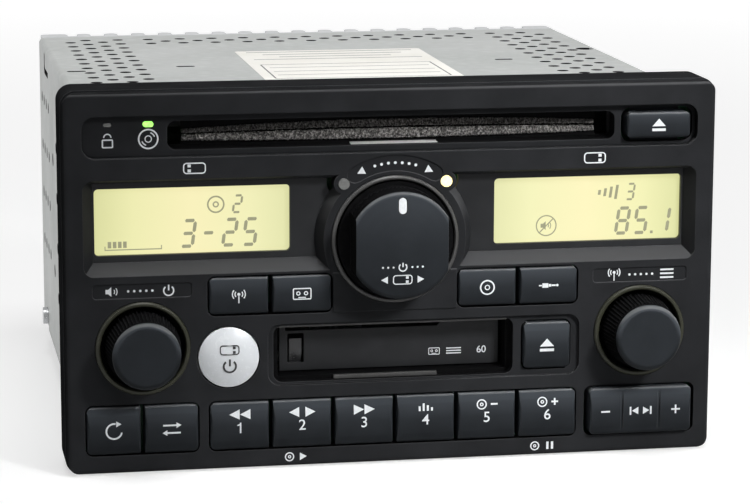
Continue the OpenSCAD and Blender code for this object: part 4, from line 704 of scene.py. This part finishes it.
# White ink is pad-printed on the face after moulding, so thin that the grain shows through. It has signs
# and plain numbers only: zones over the displays, lock and disc in the strip, volume and tuning in the label
# plates, a dotted scale over the large knob, play and pause along the foot, and a cassette on the door.
ink, tree, shader, place = new_finish("white_ink", (0.86, 0.89, 0.91), 0.5, specular=0.3)
mottled(tree, shader, noise(tree, place, 1500, 4), (0.80, 0.83, 0.85), (0.90, 0.93, 0.95))
grain(tree, shader, noise(tree, place, 4200, 2), 0.02 * mm, 0.5)


def box(cx, cz, w, h):
    return slanted_bar(cx, cz, w, h)


def pointer(cx, cz, w, h, way):
    """A triangle that points right, left or up."""
    if way == "up":
        return [(cx - w / 2, cz - h / 2), (cx + w / 2, cz - h / 2), (cx, cz + h / 2)]
    d = 1 if way == "right" else -1
    return [(cx - d * w / 2, cz - h / 2), (cx + d * w / 2, cz), (cx - d * w / 2, cz + h / 2)]


def power_sign(cx, cz, r, t):
    return [arc(cx, cz, r, t, 130, 410, 30), box(cx, cz + 0.62 * r, t, 1.15 * r)]


def disc_sign(cx, cz, r, t=0.4):
    return hoop(cx, cz, r, t) + hoop(cx, cz, 0.36 * r, 0.3)


def framed(cx, cz, w, h, r, t):
    """Outline of a rectangle with round corners, as a line t wide."""
    both = []
    for e in (0, t):
        corner = []
        for sx, sz, a0 in ((1, 1, 0), (-1, 1, 90), (-1, -1, 180), (1, -1, 270)):
            for i in range(7):
                a = math.radians(a0 + 15 * i)
                corner.append((cx + sx * (w / 2 - r) + (r - e) * math.cos(a),
                               cz + sz * (h / 2 - r) + (r - e) * math.sin(a)))
        both.append(corner)
    return both


def zone_sign(cx, cz, s, rear):
    """A car seen from above with its front or its rear seats marked."""
    x = cx + (1 if rear else -1) * 1.3 * s
    seats = [box(x, cz - 0.62 * s, 0.8 * s, 0.75 * s), box(x, cz + 0.62 * s, 0.8 * s, 0.75 * s)]
    return framed(cx, cz, 5.6 * s, 2.8 * s, 0.9 * s, 0.3 * s) + seats


def cassette_sign(cx, cz, s):
    shell = framed(cx, cz, 5.4 * s, 3.4 * s, 0.5 * s, 0.34 * s)
    left_reel, right_reel = [hoop(cx + x * s, cz + 0.15 * s, 0.62 * s, 0.3 * s) for x in (-1.1, 1.1)]
    return shell + left_reel + right_reel + [box(cx, cz - 1.05 * s, 2.2 * s, 0.3 * s)]


def aerial_sign(cx, cz, s):
    return [box(cx, cz - 0.7 * s, 0.3 * s, 2.0 * s), circle(cx, cz + 0.75 * s, 0.42 * s)] + \
        [arc(cx, cz + 0.75 * s, r * s, 0.3 * s, a, a + 80) for r in (1.05, 1.75) for a in (-40, 140)]


knob_z, scale_r = 10.9, 21.95


def on_scale(turn):
    """A point of the large knob's scale, so many degrees to the right of its top."""
    a = math.radians(90 - turn)
    return scale_r * math.cos(a), knob_z + scale_r * math.sin(a)


strip_depth, plate_depth, door_depth = 2.5, 0.3, 8.4
zone_z, disc_x, disc_z, plate_z, foot_z, door_z = 32.8, -69.8, 41.0, -1.75, -51.7, -24.2
stamp("zone_marks", zone_sign(-57.2, zone_z, 1.15, False) + zone_sign(58.2, zone_z, 1.15, True),
      "head_unit", ink, 0.0)
lock = framed(-81.2, 39.9, 3.2, 2.5, 0.4, 0.4) + [arc(-81.2, 41.6, 1.0, 0.36, 0, 180)]
glints = [arc(disc_x, disc_z, 1.85, 0.35, 20, 70), arc(disc_x, disc_z, 1.85, 0.35, 200, 250)]
stamp("strip_marks", lock + disc_sign(disc_x, disc_z, 2.9, 0.45) + glints,
      "head_unit", ink, strip_depth)
left_dots, right_dots = [[circle(x + 1.7 * i, plate_z, 0.36, 16) for i in range(5)] for x in (-76.2, 69.2)]
volume_signs = speaker(-81.2, plate_z, 1.25) + left_dots + power_sign(-64.8, -1.9, 1.4, 0.42)
tuning_signs = aerial_sign(64.6, plate_z, 1.0) + right_dots \
    + [box(80.4, plate_z + 1.15 * i, 4.0, 0.5) for i in (-1, 0, 1)]
dot_turn, tip_turn = 5.2, 27
scale_signs = [circle(*on_scale(dot_turn * i), 0.42, 16) for i in range(-3, 4)]
for way, side in ((-1, "left"), (1, "right")):
    x, z = on_scale(tip_turn * way)
    turn = -math.radians(tip_turn * way)
    scale_signs.append([(x + u * math.cos(turn) - v * math.sin(turn),
                         z + u * math.sin(turn) + v * math.cos(turn))
                        for u, v in pointer(0, 0, 2.2, 2.4, side)])
stamp("label_marks", volume_signs + tuning_signs + scale_signs,
      "head_unit", ink, plate_depth)
stamp("play_pause_marks", disc_sign(-30.6, foot_z, 1.35, 0.34) + [pointer(-26.6, foot_z, 2.0, 2.2, "right")]
      + disc_sign(41.6, foot_z, 1.35, 0.34) + [box(45.4, foot_z, 0.7, 2.2), box(46.8, foot_z, 0.7, 2.2)],
      "head_unit", ink, 0.0)
tape_lines = [box(19.0, door_z + 0.75 * i, 4.4, 0.32) for i in (-1, 0, 1)]
stamp("tape_door_marks", cassette_sign(13.2, door_z, 0.62) + tape_lines,
      "tape_door_body", ink, door_depth, figures=[("60", 27.2, door_z, 2.9)])


# Signs on the push buttons, in the same ink: search pairs, level bars and disc changers over the preset
# numbers, radio, cassette, disc and lead on the source keys, and eject signs on the two eject keys.
# The pad presses the ink round each key's crowned front.
def moved(outlines, dx, dz):
    return [[(u + dx, v + dz) for u, v in outline] for outline in outlines]


def eject(cx, cz, s):
    return [pointer(cx, cz + 0.35 * s, 2 * s, 1.1 * s, "up"), box(cx, cz - 0.7 * s, 2 * s, 0.4 * s)]


def plug_sign(cx, cz, s):
    return [box(cx - 1.1 * s, cz, 1.6 * s, 1.2 * s), box(cx + 0.15 * s, cz, 0.7 * s, 0.7 * s),
            box(cx + 1.15 * s, cz, 1.1 * s, 0.42 * s), circle(cx + 2.12 * s, cz, 0.34 * s),
            box(cx - 2.4 * s, cz, 0.8 * s, 0.34 * s)]


def plus_sign(cx, cz, arm, half=0.25):
    cross = [(-arm, -half), (-half, -half), (-half, -arm), (half, -arm), (half, -half), (arm, -half),
             (arm, half), (half, half), (half, arm), (-half, arm), (-half, half), (-arm, half)]
    return [(cx + u, cz + v) for u, v in cross]


def double(way):
    return [pointer(-1.55, 0, 3.0, 2.9, way), pointer(1.55, 0, 3.0, 2.9, way)]


row_z, row_high, row_front, key_pitch = -41.8, 13.9, -1.0, 18
sign_z, number_z, number_high = -38.4, -42.3, 4.4
small_disc = disc_sign(-1.5, 0, 1.5, 0.36)
over_number = [
    double("left"),
    [pointer(-2.35, 0, 2.9, 2.9, "left"), pointer(2.35, 0, 2.9, 2.9, "right")],
    double("right"),
    [box(-1.8, -0.5, 0.6, 1.4), box(-0.6, -0.1, 0.6, 2.2),
     box(0.6, -0.4, 0.6, 1.6), box(1.8, -0.7, 0.6, 1.0)],
    small_disc + [box(2.2, 0, 2.0, 0.5)],
    small_disc + [plus_sign(2.2, 0, 1.0)],
]
one = [(-0.05, -1.55), (0.4, -1.55), (0.4, 1.55), (0.05, 1.55),
       (-0.15, 1.15), (-0.75, 0.9), (-0.75, 0.6), (-0.05, 0.72)]
for i, sign in enumerate(over_number):
    x = (i - 2.5) * key_pitch
    stem = moved([one], x, number_z) if i == 0 else []
    stamp(f"preset_marks_{i + 1}", moved(sign, x, sign_z) + stem, f"preset_button_{i + 1}_body", ink,
          row_front, figures=[(str(i + 1), x, number_z, number_high)] if i else [],
          crown=(row_z, row_high))
source_z, source_high, source_front = -4, 10.7, -0.5
source_signs = [aerial_sign(-45.0, -4.3, 1.05), cassette_sign(-26.9, source_z, 1.0),
                disc_sign(26.9, source_z, 2.2, 0.42), plug_sign(45.2, source_z, 1.1)]
for i, sign in enumerate(source_signs):
    stamp(f"source_marks_{i + 1}", sign, f"source_button_{i + 1}_body", ink, source_front,
          crown=(source_z, source_high))
turn_arrow = [arc(-80.85, row_z, 2.2, 0.5, 78, 350), pointer(-79.5, -39.75, 1.5, 1.7, "right")]
stamp("scan_marks", turn_arrow, "scan_button_body", ink, row_front, crown=(row_z, row_high))
arrow = [(-2.5, -0.25), (1.3, -0.25), (1.3, -0.85), (2.7, 0), (1.3, 0.85), (1.3, 0.25), (-2.5, 0.25)]
swap_arrows = [[(-64.45 + d * u, row_z + d * (1.1 + v)) for u, v in arrow] for d in (1, -1)]
stamp("select_marks", swap_arrows, "select_button_body", ink, row_front,
      crown=(row_z, row_high))
rocker_front = -2.4
skip_signs = [box(69.6, row_z, 0.5, 2.4), pointer(71.0, row_z, 1.9, 2.2, "left"),
              pointer(74.3, row_z, 1.9, 2.2, "right"), box(75.7, row_z, 0.5, 2.4)]
stamp("seek_marks", [box(62.1, row_z, 2.6, 0.5), plus_sign(83.2, row_z, 1.3)] + skip_signs,
      "seek_rocker_body", ink, rocker_front, crown=(row_z, row_high))
tape_eject_high, tape_eject_front = 13.8, -0.5
stamp("tape_eject_marks", eject(44.75, -21.6, 2.1), "tape_eject_button_body", ink,
      tape_eject_front, crown=(-21.7, tape_eject_high))
disc_eject_high, disc_eject_front = 7.6, -0.2
stamp("disc_eject_marks", eject(77.0, 41.9, 2.0), "disc_eject_button_body", ink,
      disc_eject_front, crown=(slot_middle, disc_eject_high))


# The white button's sign is printed in black before its dome is lacquered, so it lies under the gloss.
# The pad is soft, so the print follows the dome.
def closer(outlines, gap=0.35):
    """The same outlines with their points close together, so that they can follow a curved front."""
    fine = []
    for outline in outlines:
        points = []
        for (u0, v0), (u1, v1) in zip(outline, outline[1:] + outline[:1]):
            steps = max(1, math.ceil(math.hypot(u1 - u0, v1 - v0) / gap))
            points += [(u0 + (u1 - u0) * i / steps, v0 + (v1 - v0) * i / steps) for i in range(steps)]
        fine.append(points)
    return fine


black_ink, tree, shader, place = new_finish("black_ink", (0.02, 0.02, 0.022), 0.35)
mottled(tree, shader, noise(tree, place, 1500, 4), (0.015, 0.015, 0.017), (0.035, 0.035, 0.037))
dome_x, dome_z, dome_front = -47.95, -21.7, -2.48
dome_r = 18.1 * mm
dome_sign = stamp("rear_power_marks",
                  closer(power_sign(dome_x, -23.9, 1.75, 0.55) + zone_sign(dome_x, -19.2, 1.0, True)),
                  "rear_power_button_body", black_ink, dome_front, thick=0.17)
for corner in dome_sign.data.vertices:
    away = math.hypot(corner.co.x - dome_x * mm, corner.co.z - (face_z + dome_z) * mm)
    corner.co.y += dome_r - math.sqrt(dome_r * dome_r - away * away)

# The large knob's pointer is a white plastic pill, moulded by itself and pressed into the knob's front.
# The signs below it are pad-printed; pill and print follow the slight dome of the front.
pill_r, pill_half, pill_z, pill_foot = 1.1, 1.15, 22.4, -11.2
push_z, rear_z, knob_front = 5.0, 1.4, -12.0
pill = [(pill_r * math.cos(math.radians(a)), way * pill_half + pill_r * math.sin(math.radians(a)))
        for way, start in ((1, 0), (-1, 180)) for a in range(start, start + 181, 15)]
push_signs = power_sign(0, push_z, 1.1, 0.38) \
    + [circle(way * (2.7 + 1.5 * i), push_z, 0.3, 16) for way in (-1, 1) for i in range(3)]
rear_signs = zone_sign(0, rear_z, 1.0, True) \
    + [pointer(-5.2, rear_z, 1.9, 2.1, "left"), pointer(5.2, rear_z, 1.9, 2.1, "right")]
knob_prints = [
    stamp("knob_pointer", closer(moved([pill], 0, pill_z)),
          "rear_control_dial", ink, pill_foot, thick=0.8),
    stamp("knob_marks", closer(push_signs + rear_signs),
          "rear_control_dial", ink, knob_front, thick=0.03),
]
knob_flat_r, knob_rise = 14.2, 0.8
for piece in knob_prints:
    for corner in piece.data.vertices:
        away = math.hypot(corner.co.x / mm, corner.co.z / mm - face_z - knob_z) / knob_flat_r
        corner.co.y += knob_rise * away * away * mm

# The rating label is cream paper with glue on its back, cut with round corners and stuck on the cover.
# It is printed in grey, with a frame and plain rules only.
paper, tree, shader, place = new_finish("label_paper", (0.9, 0.885, 0.84), 0.7, specular=0.3)
mottled(tree, shader, noise(tree, place, 60, 5), (0.86, 0.845, 0.79), (0.92, 0.905, 0.86))
grain(tree, shader, noise(tree, place, 1500, 4), 0.02 * mm, 0.6)
label_x, label_y, label_w, label_long, label_corner = 0.75, 1.5, 60.5, 74, 1.2
cover_top, paper_t = 50.3, 0.1
sheet = framed(label_x, label_y, label_w, label_long, label_corner, 0.3)[:1]
stamp("rating_label", sheet, "head_unit", paper, cover_top, thick=paper_t, top=True)
grey_ink, tree, shader, place = new_finish("grey_ink", (0.12, 0.12, 0.12), 0.6)
mottled(tree, shader, noise(tree, place, 900, 4), (0.09, 0.09, 0.09), (0.2, 0.2, 0.19))
rules = [box(label_x, 34.5 - 6.2 * i, 54 - 9 * (i % 3), 0.7) for i in range(4)]
rules += framed(label_x, -14.0, 54, 34, 0.9, 0.5)
rules += [box(label_x, y, 50, 0.5) for y in (-5.0, -14.0, -22.5)]
stamp("label_rules", rules, "head_unit", grey_ink, cover_top + paper_t, thick=0.02, top=True)

# The studio: a pale paper floor that keeps the shadow, in a white surround that lights little.
# A softbox hangs overhead, a small one with a grid stands at the right, and a weak one fills from the left.
bpy.ops.object.select_all(action="DESELECT")
bpy.ops.mesh.primitive_plane_add(size=12, location=(0, 0, 0))
floor = bpy.context.active_object
floor.name = "floor"


def looked_at(tree, dim, bright):
    """One level where a thing is looked at, straight or in gloss or glass, and another where it lights."""
    rays = tree.nodes.new("ShaderNodeLightPath")
    either = tree.nodes.new("ShaderNodeMath")
    either.operation = "MAXIMUM"
    tree.links.new(rays.outputs["Is Camera Ray"], either.inputs[0])
    tree.links.new(rays.outputs["Is Glossy Ray"], either.inputs[1])
    any_of = tree.nodes.new("ShaderNodeMath")
    any_of.operation = "MAXIMUM"
    tree.links.new(either.outputs["Value"], any_of.inputs[0])
    tree.links.new(rays.outputs["Is Transmission Ray"], any_of.inputs[1])
    level = tree.nodes.new("ShaderNodeMapRange")
    level.inputs["To Min"].default_value = dim
    level.inputs["To Max"].default_value = bright
    tree.links.new(any_of.outputs["Value"], level.inputs["Value"])
    return level.outputs["Result"]


pale, tree, shader, place = new_finish("floor_pale", (0.5, 0.5, 0.5), 0.9, specular=0.1)
from_middle = tree.nodes.new("ShaderNodeVectorMath")
from_middle.operation = "LENGTH"
tree.links.new(place, from_middle.inputs[0])
outwards = tree.nodes.new("ShaderNodeMapRange")
outwards.inputs["From Min"].default_value = 0.1
outwards.inputs["From Max"].default_value = 1.6
tree.links.new(from_middle.outputs["Value"], outwards.inputs["Value"])
shades(tree, outwards.outputs["Result"], shader.inputs["Emission Color"],
       [(0.0, 0.58), (0.35, 0.7), (1.0, 1.0)])
tree.links.new(looked_at(tree, 0.0, 1.0), shader.inputs["Emission Strength"])
mottled(tree, shader, noise(tree, place, 3, 2), 0.49, 0.51)
floor.data.materials.append(pale)


def softbox(name, at, aim, size, power, beam=180):
    """A square lamp; a grid in front of it narrows its beam, given in degrees."""
    lamp = bpy.data.lights.new(name, "AREA")
    lamp.shape = "SQUARE"
    lamp.size = size
    lamp.energy = power
    lamp.spread = math.radians(beam)
    holder = bpy.data.objects.new(name, lamp)
    bpy.context.collection.objects.link(holder)
    holder.location = at
    holder.rotation_euler = (Vector(aim) - Vector(at)).to_track_quat("-Z", "Y").to_euler()


softbox("overhead", at=(0.0, -0.26, 1.1), aim=(0, -0.04, 0.06), size=0.5, power=7.2)
softbox("key", at=(0.3, -0.52, 0.42), aim=(0.045, -0.085, 0.06), size=0.12, power=0.13, beam=30)
softbox("fill", at=(-1.2, 0.0, 0.55), aim=(0, 0, 0.05), size=0.9, power=1.7)
world = bpy.data.worlds.new("white_surround")
bpy.context.scene.world = world
world.use_nodes = True
tree = world.node_tree
sky = tree.nodes["Background"]
sky.inputs["Color"].default_value = (1, 1, 1, 1)
tree.links.new(looked_at(tree, 0.1, 1.0), sky.inputs["Strength"])

# The camera stands to the left and a little above the unit, with a long lens, turned by a hair.
lens = bpy.data.cameras.new("camera")
lens.lens = 135.5
lens.sensor_width = 36
camera = bpy.data.objects.new("camera", lens)
bpy.context.collection.objects.link(camera)
eye = Vector((-0.14751, -0.86121, 0.21393))
aim = Vector((-0.00584, -0.0855, 0.06222))
roll = math.radians(0.15)
turned_to = (aim - eye).to_track_quat("-Z", "Y").to_matrix().to_4x4()
camera.matrix_world = Matrix.Translation(eye) @ turned_to @ Matrix.Rotation(roll, 4, "Z")
bpy.context.scene.camera = camera
bpy.context.scene.view_settings.view_transform = "Standard"
